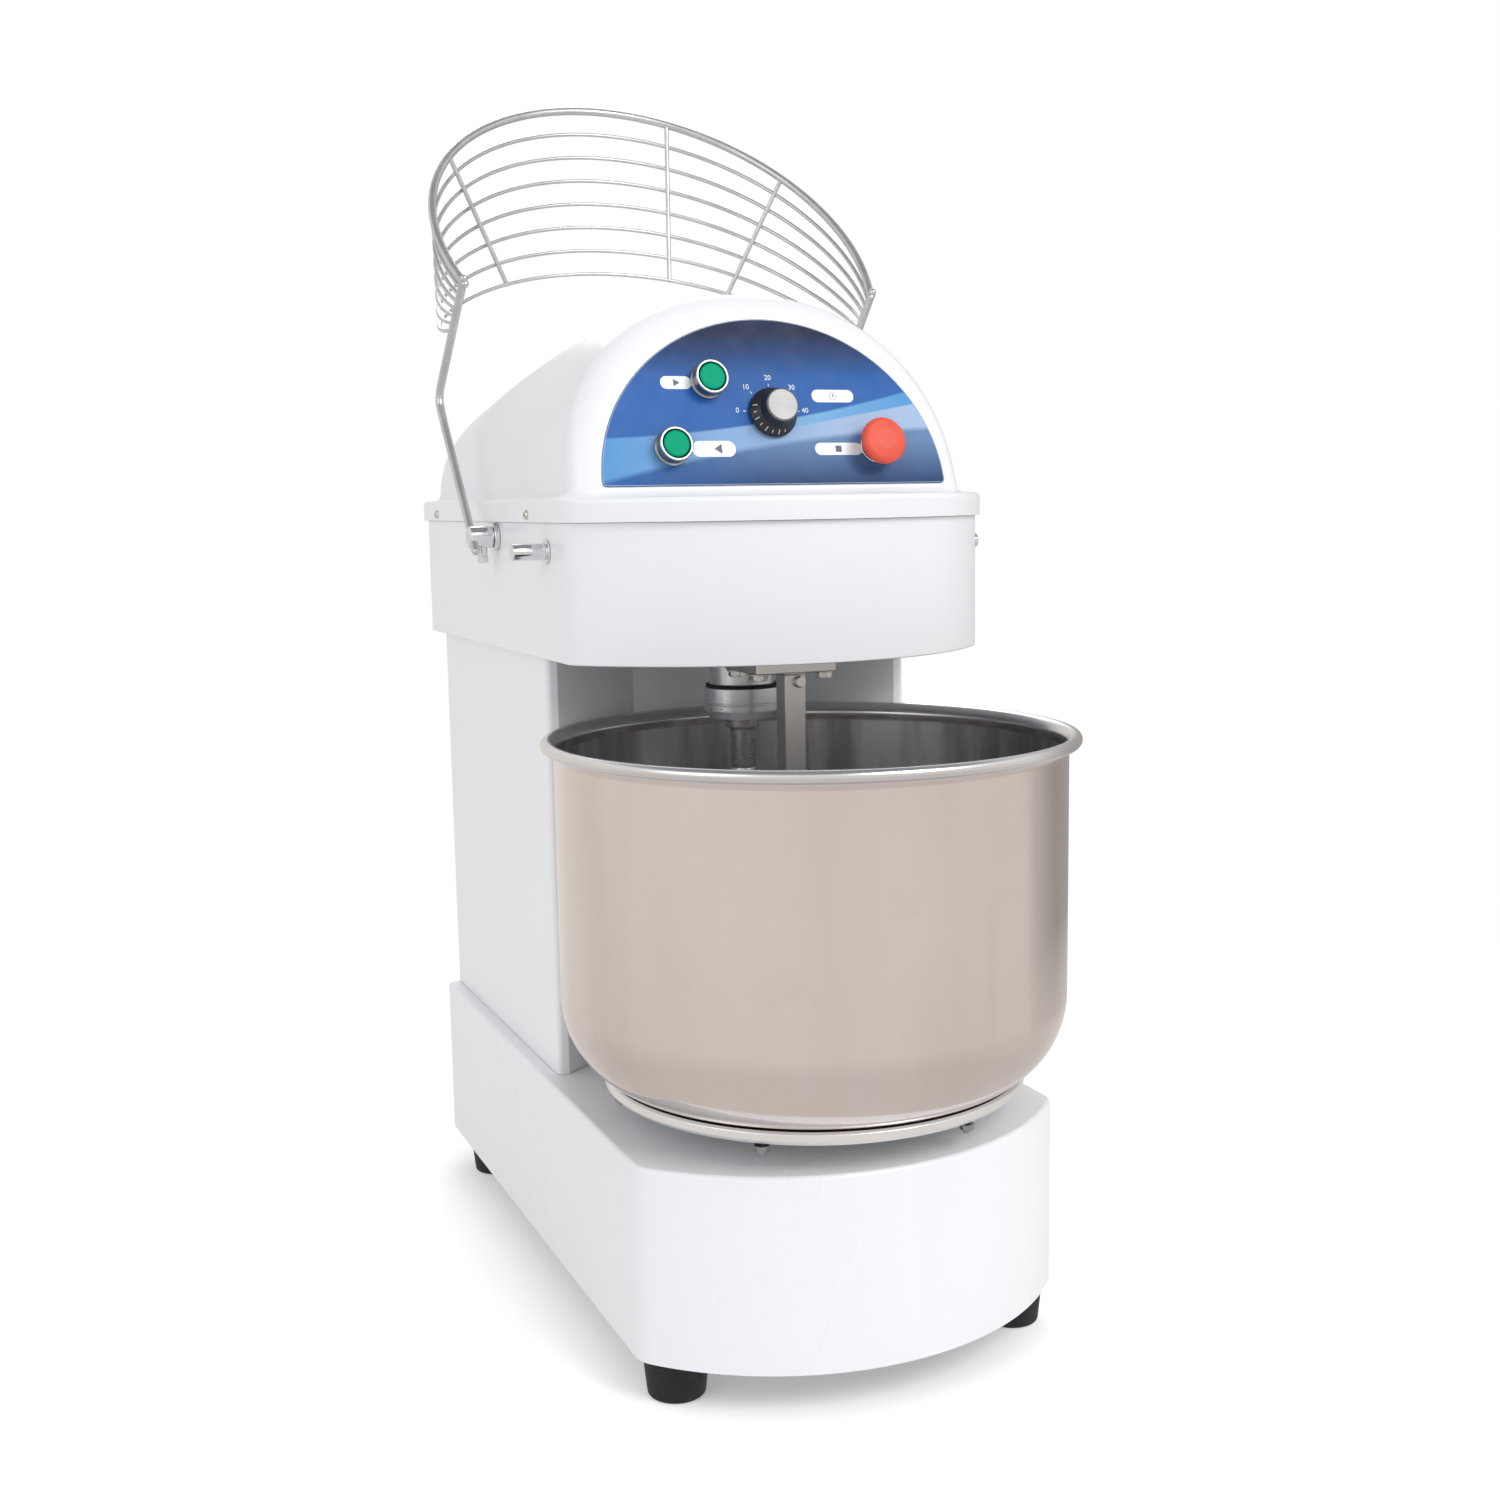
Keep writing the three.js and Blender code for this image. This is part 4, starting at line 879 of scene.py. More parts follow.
# ---------- top cover ----------
def dome_stations(amount, base_z, edge_steps=10, body_steps=36):
    """(y, lean, half width, crown height) of each arch, from the front face to the rear one."""
    front = BOWL_Y + DOME["front"] + amount - (DOME["front_z"] - base_z) * math.tan(LEAN)
    rear = box_mm("top_cover")[1].y - FLANGE_GROW - DOME["rear_gap"] - amount
    edge = DOME["edge"] - amount

    def station(y, share, shrink):
        past = max(0, y - BOWL_Y - DOME["level"])
        crown = DOME["height"] - amount - DOME["fall"] * past ** 2 - shrink
        return y, math.tan(LEAN) * (1 - share), DOME["half"] - amount - shrink, crown

    stations = []
    for k in range(edge_steps):
        a = (math.pi / 2) * k / edge_steps
        stations.append(station(front + edge * (1 - math.cos(a)), 0, edge * (1 - math.sin(a))))
    for k in range(body_steps + 1):
        share = k / body_steps
        stations.append(station(front + edge + (rear - front - 2 * edge) * share, share, 0))
    for k in range(1, edge_steps + 1):
        a = (math.pi / 2) * k / edge_steps
        stations.append(station(rear - edge + edge * math.sin(a), 1, edge * (1 - math.cos(a))))
    return stations


def dome_body(amount, base_z, arch=72):
    power = 2 / DOME["power"]
    rings = []
    for y, lean, half, crown in dome_stations(amount, base_z):
        ring = []
        for i in range(arch + 1):
            a = math.pi * i / arch
            x = half * math.copysign(abs(math.cos(a)) ** power, math.cos(a))
            z = crown * max(0.0, math.sin(a)) ** power
            ring.append(Vector((x, y + lean * z, base_z + z)))
        rings.append(ring)
    return loft(rings)


def dome_skirt(radius, steps=5):
    """The concave round where the dome's foot runs out into the flange."""
    right = [(Vector((half, y, 0)), lean) for y, lean, half, _ in dome_stations(0, FLANGE_TOP)]
    loop = right + [(Vector((-p.x, p.y, 0)), lean) for p, lean in reversed(right)]
    rings = []
    count = len(loop)
    for i, (foot, lean) in enumerate(loop):
        before = (foot - loop[i - 1][0]).normalized()
        after = (loop[(i + 1) % count][0] - foot).normalized()
        along = (before + after).normalized()
        outward = Vector((along.y, -along.x, 0))
        foot = foot + Vector((0, 0, FLANGE_TOP))
        wall = foot + Vector((0, lean * radius, radius)) - outward * 0.1
        ledge = foot + outward * radius
        curve = [wall] + bezier(wall, foot, ledge, steps)
        under = ledge - Vector((0, 0, 1))
        inside = foot - outward * 2 - Vector((0, 0, 1))
        inside_top = wall - outward * 2
        rings.append(curve + [under, inside, inside_top])
    return loft(rings, loop=True)


def build_top_cover():
    low, high = box_mm("top_cover")
    shell = casing_shell("top_cover", HEAD_SAG, low.z, FLANGE_TOP, 4.5, FLANGE_LIP, FLANGE_GROW)
    holes = [moved(hole, on_panel()) for hole in control_holes(BUTTON_HOLE, -14, 8)]
    cavity = dome_body(DOME["wall"], FLANGE_TOP - FLANGE_LIP - 1, 48)
    add_piece("domed_top_cover", shell, "white_paint", "top_cover", sharp=50,
              joins=[dome_body(0, FLANGE_TOP - 1), dome_skirt(7)], cutters=[cavity] + holes)
    for side, label in ((-1, "left"), (1, "right")):
        for i, y in enumerate(FLANGE_SCREW_YS):
            place = (side * (high.x - 0.1), BOWL_Y + y, low.z + 6)
            add_screw(f"flange_screw_{label}_{i + 1}", FLANGE_SCREW, along_x(side, place))


# ---------- fasteners ----------
def pan_screw(radius, height):
    shank = radius * 0.45
    return turned([(0, -3), (shank, -3), (shank, 0), (radius, 0, 0.2), (radius, height * 0.4, 0.5),
                   (radius * 0.72, height * 0.9, 0.8), (0, height)], 40)


def cross_slot(radius, height):
    half, reach = radius * 0.14, radius * 0.62
    return [block(-half, half, -reach, reach, height * 0.35, height + 2, 0.1),
            block(-reach, reach, -half, half, height * 0.35, height + 2, 0.1)]


def add_screw(name, size, place):
    """A cross-slotted zinc screw of that radius and height."""
    add_piece(name, pan_screw(*size), "chrome", body="frame", at=place, look=ZINC,
              cutters=cross_slot(*size))


def hexagon(flats, z, trim=0.0, limit=None):
    """A hexagonal ring, moved in by trim, whose corners a turned cone may cut off at the limit radius."""
    count = 48
    ring = []
    for i in range(count):
        a = 2 * math.pi * i / count
        r = (flats / 2) / math.cos((a + math.pi / 6) % (math.pi / 3) - math.pi / 6) - trim
        if limit:
            r = min(r, limit)
        ring.append(Vector((r * math.cos(a), r * math.sin(a), z)))
    return ring


def hex_bolt(flats, height, washer_r=0, washer_thick=0, stub=0):
    """Hex head with turned-off corners on z = 0, with a washer under it and its thread's end above."""
    base = washer_thick
    top = base + height
    shape = ((0, 0.54), (0.08, None), (0.80, None), (0.94, 0.54), (1, 0.46))
    rings = [hexagon(flats, base + height * up, 0, flats * cut if cut else None) for up, cut in shape]
    parts = [loft(rings)]
    if washer_r:
        bore = flats * 0.2
        parts.append(turned([(bore, 0), (washer_r, 0, 0.2), (washer_r, base, 0.3), (bore, base)], 40))
    if stub:
        thread = flats * 0.3
        parts.append(turned([(0, top - 1), (thread, top - 1), (thread, top + stub, 0.6),
                             (0, top + stub)], 32))
    return merged(*parts)


# ---------- control panel ----------
def panel_place(node):
    """Across and up the panel, for the control whose CAD node this is."""
    away = centre_mm(node) - PANEL_ORIGIN
    return away.dot(X_AXIS), away.dot(PANEL_UP)


def control_holes(button, z0, z1):
    """Cutters for the controls, in panel coordinates. button is the radius for the push buttons."""
    sizes = (("start_button", button), ("reverse_button", button), ("stop_button", BUTTON_HOLE),
             ("timer_knob", STEM_HOLE))
    return [shifted(cylinder(radius, z0, z1), *panel_place(node)) for node, radius in sizes]


def panel_outline():
    half, height, corner = PANEL["half"], PANEL["height"], PANEL["corner"]
    low = math.asin(corner / height)
    points = [Vector((-half + corner, 0)), Vector((half - corner, 0))]
    points += bezier(points[-1], (half, 0), (half * math.cos(low), corner), 6)
    steps = 96
    for k in range(1, steps + 1):
        a = low + (math.pi - 2 * low) * k / steps
        points.append(Vector((half * math.cos(a), height * math.sin(a))))
    points += bezier(points[-1], (-half, 0), points[0], 6)[:-1]
    return [p.to_3d() for p in points]


def stadium(u0, u1, w0, w1):
    """A pill-shaped outline."""
    return rectangle(u0, u1, w0, w1, (w1 - w0) * 0.49, 8)


def build_panel():
    plate = slab(panel_outline(), PANEL["lift"], PANEL_FACE, 0.35)
    add_piece("printed_panel", plate, "panel_print", "control_panel", at=on_panel(),
              cutters=control_holes(BUTTON_HOLE + 0.3, -5, 5))
    outer, inner = inset(panel_outline(), 0.4), inset(panel_outline(), 0.9)
    low_z, high_z = PANEL_FACE - 0.05, PANEL_FACE + 0.12
    border = loft([[Vector((p.x, p.y, z)) for p in ring]
                   for ring, z in ((outer, low_z), (outer, high_z), (inner, high_z), (inner, low_z))],
                  loop=True)
    add_piece("panel_border", border, "panel_print", body="frame", at=on_panel(), look=BORDER_INK)


def build_labels():
    """White pills beside the controls. Each has a plain symbol: run, run back, clock and stop."""
    ink_z = PANEL_FACE + 0.16
    for name, (u0, u1, w0, w1) in PILLS.items():
        pill = slab(stadium(u0, u1, w0, w1), PANEL_FACE - 0.05, ink_z, 0.08)
        add_piece(f"label_{name}", pill, "panel_print", body="frame", at=on_panel(), look=WHITE_INK)
        cx, cy, r = (u0 + u1) / 2, (w0 + w1) / 2, (w1 - w0) * 0.3
        if name == "reverse":
            cx += 4
        marks = []
        for outline in symbol(name, cx, cy, r):
            marks.append(slab(outline, ink_z - 0.05, ink_z + 0.08, 0.03))
        add_piece(f"symbol_{name}", merged(*marks), "panel_print", body="frame", at=on_panel(),
                  look=NAVY_INK)


def symbol(name, x, y, r):
    """Outlines of a label's symbol round the point x, y."""
    if name in ("start", "reverse"):
        way = 1 if name == "start" else -1
        corners = [(x - way * r * 0.7, y - way * r), (x + way * r, y), (x - way * r * 0.7, y + way * r)]
        return [rounded_polygon(corners, 0.3)]
    if name == "stop":
        side = r * 0.85
        return [rectangle(x - side, x + side, y - side, y + side, 0.3)]
    hands = [rectangle(x - 0.35, x + 0.35, y - 0.3, y + r * 0.62, 0.2),
             rectangle(x - 0.3, x + r * 0.5, y - 0.35, y + 0.35, 0.2)]
    dots = [circle(0.42, 16, x + r * math.cos(k * math.pi / 6), y + r * math.sin(k * math.pi / 6))
            for k in range(12)]
    return hands + dots


def build_dial():
    """Plain numbers over the upper half of the timer knob, with a tick under each."""
    u, w = panel_place("timer_knob")
    d = DIAL
    bar = slab(rectangle(*d["tick"], -0.3, 0.3, 0.1, 2), PANEL_FACE - 0.05, PANEL_FACE + 0.12, 0.04)
    marks = []
    for k in range(d["steps"] + 1):
        a = math.radians(d["first_deg"] - d["sweep_deg"] * k / d["steps"])
        marks.append(moved(bar, Matrix.Rotation(a, 4, "Z")))
        number(f"timer_number_{10 * k}", str(10 * k), u + d["radius"] * math.cos(a),
               w + d["radius"] * math.sin(a), d["text"])
    add_piece("timer_ticks", merged(*marks), "panel_print", body="frame", at=on_panel(u, w), look=WHITE_INK)


def number(name, text, u, w, height):
    curve = bpy.data.curves.new(name, "FONT")
    curve.body = text
    curve.size = height * MM
    curve.extrude = 0.06 * MM
    curve.align_x = "CENTER"
    curve.align_y = "CENTER"
    curve.resolution_u = 4
    text_object = bpy.data.objects.new(name + "_curve", curve)
    bpy.context.scene.collection.objects.link(text_object)
    graph = bpy.context.evaluated_depsgraph_get()
    mesh = bpy.data.meshes.new_from_object(text_object.evaluated_get(graph))
    bpy.data.objects.remove(text_object)
    thing = bpy.data.objects.new(name, mesh)
    bpy.context.scene.collection.objects.link(thing)
    mesh.materials.clear()
    mesh.materials.append(WHITE_INK)
    placed = on_panel(u, w, PANEL_FACE + 0.05)
    placed.translation *= MM
    thing.matrix_world = placed
    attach(thing, "frame")


def build_buttons():
    top = PANEL_FACE + 0.3
    for name in ("start", "reverse"):
        place = on_panel(*panel_place(f"{name}_button"))
        ring = turned([(11.35, top), (14.4, top, 0.2), (14.4, 3.4, 0.6), (12.9, 4.3, 0.4),
                       (12.7, 12.6, 0.6), (13.9, 13.4, 0.5), (13.9, 14.4, 0.4), (13.2, 15.0, 0.4),
                       (11.9, 15.0, 0.3), (11.35, 14.2, 0.3)], 72)
        add_piece(f"{name}_bezel_ring", ring, "chrome", f"{name}_bezel", at=place, look=BEZEL_STEEL)
        cap = turned([(0, -20), (4, -20), (4, 5), (10.5, 5), (10.5, 14.6, 0.8), (9.5, 15.4, 0.6),
                      (8.8, 15.2, 0.6), (0, 15.0)], 72)
        add_piece(f"{name}_push_cap", cap, "green_plastic", f"{name}_button", at=place)
    place = on_panel(*panel_place("stop_button"))
    collar = turned([(7, top), (14, top, 0.3), (14, 4.6, 0.8), (11.6, 5.4, 0.5), (11.2, 8, 0.5),
                     (7, 8)], 64)
    add_piece("stop_collar_ring", collar, "chrome", "stop_collar", at=place)
    mushroom = turned([(0, -20), (5.8, -20), (5.8, 11.6), (9.4, 11.8, 0.4), (9.8, 13.0, 0.6),
                       (17.4, 13.6, 0.8), (18.9, 15.4, 1.4), (18.9, 20.2, 3.0), (16.6, 23.2, 4),
                       (9, 24.5, 8), (0, 24.7)], 96, 6)
    add_piece("stop_mushroom", mushroom, "red_plastic", "stop_button", at=place)


def build_timer():
    place = on_panel(*panel_place("timer_knob"))
    flutes, flute_depth = 24, 0.45
    cone = ((19.9, 5.9), (15.2, 12.0))
    body = turned([(0, -12), (3, -12), (3, 3.6), (20.0, 3.6, 0.4), (20.4, 4.8, 0.5), (*cone[0], 0.5),
                   (*cone[1], 1.0), (14.3, 13.0, 0.6), (13.9, 23.0, 0.6), (0, 23.0)], 8 * flutes)
    points = []
    for p in body[0]:
        radius = math.hypot(p.x, p.y)
        depth = flute_depth if radius > 12 and 13.4 < p.z < 22.6 else 0
        scale = 1 - depth / max(radius, 1) * (0.5 + 0.5 * math.cos(flutes * math.atan2(p.y, p.x)))
        points.append(Vector((p.x * scale, p.y * scale, p.z)))
    add_piece("timer_knob_body", (points, body[1]), "black_plastic", "timer_knob", at=place)
    cap = turned([(0, 22.8), (13.5, 22.8), (13.7, 23.5, 0.4), (13.2, 24.4, 0.5), (12.6, 24.6, 0.3),
                  (12.2, 24.4, 0.2), (0, 24.3)], 96)
    add_piece("timer_knob_cap", cap, "chrome", body="timer_knob", at=place, look=SPUN_CAP)
    slope = math.atan2(cone[1][1] - cone[0][1], cone[0][0] - cone[1][0])
    middle = Vector(((cone[0][0] + cone[1][0]) / 2, 0, (cone[0][1] + cone[1][1]) / 2))
    tilt = Matrix.Translation(middle) @ Matrix.Rotation(slope, 4, "Y")
    marks = []
    for k in range(8):
        reach = 2.2 if k % 2 == 0 else 1.3
        bar = slab(rectangle(-reach, reach, -0.3, 0.3, 0.1, 2), -0.15, 0.1, 0.04)
        marks.append(moved(bar, Matrix.Rotation(math.radians(165 + 18 * k), 4, "Z") @ tilt))
    add_piece("timer_knob_marks", merged(*marks), "panel_print", body="timer_knob", at=place,
              look=WHITE_INK)


# ---------- bowl ----------
def bowl_profile():
    """Outside up from the middle, round the rolled rim and down the inside."""
    low, high = box_mm("bowl")
    r, tube_r, corner, wall = BOWL["r"], BOWL["tube"], BOWL["corner"], BOWL["wall"]
    rim_centre = (high.x - tube_r, high.z - tube_r)
    corner_z = low.z + corner
    points = [(0, low.z)]
    steps = 18
    for k in range(steps + 1):
        a = (math.pi / 2) * k / steps
        points.append((r - corner + corner * math.sin(a), corner_z - corner * math.cos(a)))
    points += [(r, rim_centre[1] - 11), (r + 0.3, rim_centre[1] - 7.4)]
    first, last, around = math.radians(-112), math.radians(152), 22
    for k in range(around + 1):
        a = first + (last - first) * k / around
        points.append((rim_centre[0] + tube_r * math.cos(a), rim_centre[1] + tube_r * math.sin(a)))
    points += [(r - wall + 0.5, rim_centre[1] - 1.2), (r - wall, rim_centre[1] - 5)]
    for k in range(steps + 1):
        a = (math.pi / 2) * (1 - k / steps)
        inner = corner - wall
        points.append((r - corner + inner * math.sin(a), corner_z - inner * math.cos(a)))
    points.append((0, low.z + wall))
    return points


def build_bowl():
    add_piece("rolled_rim_bowl", turned(bowl_profile(), 180), "stainless", "bowl", at=upright(0, BOWL_Y),
              look=BOWL_STEEL, sharp=60)
    low, high = box_mm("bowl_carrier")
    bowl_low = box_mm("bowl")[0].z
    corner, r = BOWL["corner"] + 1.0, BOWL["r"] - BOWL["corner"]
    seat_z = bowl_low + BOWL["corner"]
    outer = high.x
    profile = [(30, low.z), (120, low.z, 1), (124, low.z + 2.6, 1), (156, low.z + 3.6, 2),
               (outer - 3, high.z - 11, 2), (outer, high.z - 8, 1.2), (outer, high.z - 2.6, 1.0),
               (outer - 2.2, high.z - 1, 0.8)]
    top = math.asin((seat_z - high.z + 1) / corner)
    steps = 12
    for k in range(steps + 1):
        a = top + (math.pi / 2 - top) * k / steps
        profile.append((r + corner * math.cos(a), seat_z - corner * math.sin(a)))
    profile.append((30, bowl_low - 0.3))
    add_piece("bowl_carrier_ring", turned(profile, 144), "cast_aluminium", "bowl_carrier",
              at=upright(0, BOWL_Y), look=RING_STEEL)
    c = CARRIER_BOLTS
    for i in range(c["count"]):
        a = math.radians(c["first_deg"] + 360 * i / c["count"])
        place = (c["circle"] * math.sin(a), BOWL_Y - c["circle"] * math.cos(a), low.z + 3.4)
        # Painted shade: these bolts take the darker bezel steel rather than zinc, as they sit in the shadow
        # under the ring.
        add_piece(f"carrier_bolt_{i + 1}", hex_bolt(9, 4, 6, 1.0, 2.2), "chrome", body="bowl",
                  at=turned_to(place, 180), look=BEZEL_STEEL)


# ---------- tools in the bowl ----------
def build_hook():
    low, high = box_mm("hook_housing")
    h = HOUSING
    r, upper = h["r"], h["upper"]
    seam, ledge, shade_ring_top = low.z + h["seam"], low.z + h["ledge"], low.z + h["shade_ring"]
    profile = [(h["bore"], low.z + 4, 0.5), (h["bore"] + 0.6, low.z, 0.5), (r - 5, low.z, 2),
               (r, low.z + 6.5, 2), (r, seam - 0.9, 0.3), (r - 1.4, seam - 0.6, 0.2),
               (r - 1.4, seam + 0.6, 0.2), (r, seam + 0.9, 0.3), (r, ledge, 0.5),
               (upper + 1, ledge + 0.1, 0.2), (upper + 1, shade_ring_top, 0.2), (upper, shade_ring_top + 0.2, 0.2),
               (upper, h["seat"]), (h["flange"], h["seat"], 0.4), (h["flange"], h["flange_top"], 0.8),
               (upper, h["flange_top"], 1), (upper, high.z, 0.8), (h["bore"], high.z)]
    place = upright(0, HOOK_Y)
    add_piece("hook_bearing_housing", turned(profile, 96), "stainless", "hook_housing", at=place,
              look=LOOKS["cast_aluminium"])
    # Painted shade: a black rubber ring on the ledge stands in for the shadowed top edge of the housing's
    # lower part.
    shade_ring = turned([(upper + 0.9, ledge + 0.2), (r - 1.6, ledge + 0.2, 0.6),
                   (r - 1.6, shade_ring_top - 0.2, 0.6), (upper + 0.9, shade_ring_top - 0.1)], 96)
    add_piece("hook_housing_shade_ring", shade_ring, "rubber", body="frame", at=place)
    add_piece("spiral_dough_hook", hook_mesh(), "stainless", "spiral_hook", at=place)


def hook_mesh():
    """Shaft, necked end and a coil of round bar that winds down and tapers in at the bottom."""
    h = HOOK
    shaft_top = box_mm("spiral_hook")[1].z
    neck_z, neck_r = h["neck_z"], h["neck"]
    shaft = turned([(0, neck_z - 30), (neck_r, neck_z - 30, 6), (neck_r, h["shoulder"] - 2, 1),
                    (h["shaft"], h["shoulder"], 1), (h["shaft"], shaft_top, 1.5), (0, shaft_top)], 48)
    points = [Vector((0, 0, neck_z)), Vector((-6, 3, neck_z - 18)), Vector((-34, 8, neck_z - 34))]
    steps = 28
    for k in range(steps + 1):
        t = k / steps
        a = math.pi + 2 * math.pi * h["turns"] * t
        r = h["coil"] - h["taper"] * max(0, t - h["taper_from"]) / (1 - h["taper_from"])
        points.append(Vector((r * math.cos(a), r * math.sin(a), h["top"] + (h["low"] - h["top"]) * t)))

    def bar_radius(share):
        thinning, thin_from = 0.25, 0.8
        return h["bar"] * (1 - thinning * max(0, share - thin_from) / (1 - thin_from))

    return merged(shaft, tube(smooth_path(points, 5), bar_radius, 24, end_steps=5))


def build_dough_bar():
    low, high = box_mm("dough_bar")
    plate_z, half = BAR["plate_z"], BAR["half"]
    y = BOWL_Y + BAR["y"]
    post = block(-half, half, y - half, y + half, low.z, plate_z + 2, 1.2)
    plate = block(low.x, high.x, low.y, high.y, plate_z, high.z, 1.0)
    foot = rectangle(-half, half, y - half, y + half, 2.5, 4)
    weld = tube([p + Vector((0, 0, plate_z)) for p in foot], 1.8, 10, closed=True)
    add_piece("dough_bar_post", merged(post, plate, weld), "stainless", "dough_bar", look=BAR_STEEL)
    x, front, rear = BAR["bolt_x"], low.y + BAR["bolt_edge"], high.y - BAR["bolt_edge"]
    for i, (bolt_x, bolt_y) in enumerate(((-x, front), (x, front), (x, rear), (-x, rear))):
        add_piece(f"bar_plate_bolt_{i + 1}", hex_bolt(12, 4.6, 8.2, 1.0), "chrome", body="frame",
                  at=turned_to((bolt_x, bolt_y, plate_z), 180), look=ZINC)
    add_piece("bar_clamp_bolt", hex_bolt(8, 4, 4.8, 0.8), "chrome", body="frame",
              at=turned_to((3, y - half, plate_z - 7), 90), look=ZINC)


# ---------- guard ----------
def guard_row(k):
    """Arc number k of the guard in hinge coordinates, as closed; 0 is the rim."""
    g = GUARD
    share = k / g["arcs"]
    climb = k * g["end_step"] / (g["rim_drop"] - g["bend_drop"])
    end_x = g["end_half"] + (g["bend_half"] - g["end_half"]) * climb
    end_y = -(g["rim_end"] + (g["bend_back"] - g["rim_end"]) * climb)
    half = max(g["half"] + (g["last_half"] - g["half"]) * share, end_x)
    front = -(g["rim_front"] + (g["last_front"] - g["rim_front"]) * share)
    spread = math.acos(min(1, end_x / half))
    depth = (end_y - front) / (1 + math.sin(spread))
    end_z = k * g["end_step"] - g["rim_drop"]
    front_z = k * g["arc_step"] - g["rim_drop"]
    steps = 72
    row = []
    for i in range(steps + 1):
        a = -spread + (math.pi + 2 * spread) * i / steps
        forward = (math.sin(a) + math.sin(spread)) / (1 + math.sin(spread))
        z = front_z + (end_z - front_z) * (1 - forward) ** 3
        row.append(Vector((half * math.cos(a), front + depth - depth * math.sin(a), z)))
    return row


def on_row(k, x):
    row = guard_row(k)
    i = next(j for j in range(1, len(row)) if row[j].x <= x)
    share = (row[i - 1].x - x) / (row[i - 1].x - row[i].x)
    return row[i - 1].lerp(row[i], share)


def guard_arm(side):
    """Side bar and arm in one rod, from the rim's end round a tight bend and through the hinge boss."""
    g = GUARD
    corner = Vector((side * g["end_half"], -g["rim_end"] + 3, -g["rim_drop"] - 4))
    bend = Vector((side * g["bend_half"], -g["bend_back"], -g["bend_drop"]))
    end = Vector((side * g["arm_half"], g["arm_end"], 0))
    return round_corners([(corner, 0), (bend, 14), (end, 0)], 10)


def build_guard():
    g = GUARD
    opened = turned_to(HINGE, -g["open_deg"])
    rim = guard_row(0)
    overhang = 5
    rim = [rim[0] + (rim[0] - rim[1]).normalized() * overhang] + rim
    rim = rim + [rim[-1] + (rim[-1] - rim[-2]).normalized() * overhang]
    rods = [tube(rim, g["rod"], 16), tube(guard_arm(-1), g["rod"], 16), tube(guard_arm(1), g["rod"], 16)]
    wires = [tube(guard_row(k), g["wire"], 12) for k in range(1, g["arcs"] + 1)]
    for rim_x, last_x in CROSS_WIRES:
        start, end = on_row(0, rim_x), on_row(g["arcs"], last_x)
        wires.append(tube([start.lerp(end, t / 6) for t in range(7)], g["wire"] + 0.3, 12))
    basket = moved(merged(*rods, *wires), opened)
    add_piece("guard_wire_basket", basket, "guard_wire", "guard_grid")
    for side, label in ((-1, "left"), (1, "right")):
        build_hinge(side, label)


def reach_mm(node):
    """Nearest and farthest distance of a node from the middle plane."""
    low, high = box_mm(node)
    return sorted((abs(low.x), abs(high.x)))


def build_hinge(side, label):
    boss_in, reach = reach_mm(f"guard_boss_{label}")
    collar_in, collar_out = reach_mm(f"hinge_collar_{label}")
    collar_low, collar_high = box_mm(f"hinge_collar_{label}")
    collar_r = (collar_high.z - collar_low.z) / 2
    place = along_x(side, (0, HINGE.y, HINGE.z))
    r = BOSS_R
    boss = turned([(0, boss_in), (6, boss_in, 0.5), (6, collar_out), (r - 0.4, collar_out + 0.4),
                   (r, collar_out + 1.2, 0.3), (r, reach - 1.4, 0.8), (r - 1.6, reach, 0.8),
                   (0, reach)], 72)
    add_piece(f"hinge_boss_{label}", boss, "chrome", f"guard_boss_{label}", at=place)
    ring = turned([(6.5, collar_in), (collar_r, collar_in, 0.6), (collar_r, collar_out, 0.9),
                   (6.5, collar_out)], 72)
    add_piece(f"hinge_ring_{label}", ring, "chrome", f"hinge_collar_{label}", at=place)
    screw = turned([(0, r - 2), (4.2, r - 2), (4.2, r + 5.8, 0.3), (3.5, r + 6.2, 0.2), (3.5, r + 6.8, 0.2),
                    (4.6, r + 7.2, 0.3), (4.6, r + 12, 0.8), (2.4, r + 12.4, 0.2), (2.4, r + 10.8),
                    (0, r + 10.8)], 40)
    add_piece(f"boss_set_screw_{label}", screw, "chrome", body="guard",
              at=turned_to((side * (collar_out + 8.3), HINGE.y, HINGE.z), 180))
    middle = centre_mm(f"stop_pin_{label}")
    inner, outer = reach_mm(f"stop_pin_{label}")
    flange_r, pin_r = 9.7, 6.5
    pin = turned([(0, inner), (flange_r, inner, 0.3), (flange_r, inner + 1.5, 0.6),
                  (pin_r, inner + 1.7, 0.3), (pin_r, outer - 0.2, 1.2), (0, outer)], 64)
    add_piece(f"guard_stop_pin_{label}", pin, "chrome", f"stop_pin_{label}",
              at=along_x(side, (0, middle.y, middle.z)))


# ---------- cable ----------
def build_cable():
    y = box_mm("base_shell")[1].y
    gland = centre_mm("cable_gland")
    x, z = gland.x, gland.z
    drop, floor_z = CABLE["drop"], CABLE["floor_z"]
    points = [(x, y - 30, z), (x, y - 6, z), (x, y + 18, z), (x, y + drop, z - 10), (x, y + drop + 1, 36),
              (x + 8, y + drop - 1, 14), (x + 34, y + drop - 5, floor_z),
              (x + CABLE["run"], y + drop - 5, floor_z)]
    path = smooth_path([Vector(p) for p in points], 10)
    add_piece("power_lead", tube(path, CABLE["r"], 18), "rubber", "power_cable")
    nut = merged(turned([(5.2, -14), (8, -14, 0.4), (8, 0.2), (5.2, 0.2)], 40),
                 hex_ring(22, 5.2, 0.3, 7),
                 turned([(5.2, 6.9), (9.6, 6.9, 0.4), (9.6, 11, 1.5), (7.2, 15.8, 1.2),
                         (5.2, 15.8, 0.3)], 40))
    add_piece("cable_gland_nut", nut, "black_plastic", "cable_gland", at=turned_to((x, y, z), -90))


def hex_ring(flats, bore, z0, z1, edge=0.5):
    outer = [hexagon(flats, z0, edge), hexagon(flats, z0 + edge), hexagon(flats, z1 - edge),
             hexagon(flats, z1, edge)]
    inner = [[Vector((p.x, p.y, z)) for p in circle(bore)] for z in (z1, z0)]
    return loft(outer + inner, loop=True)


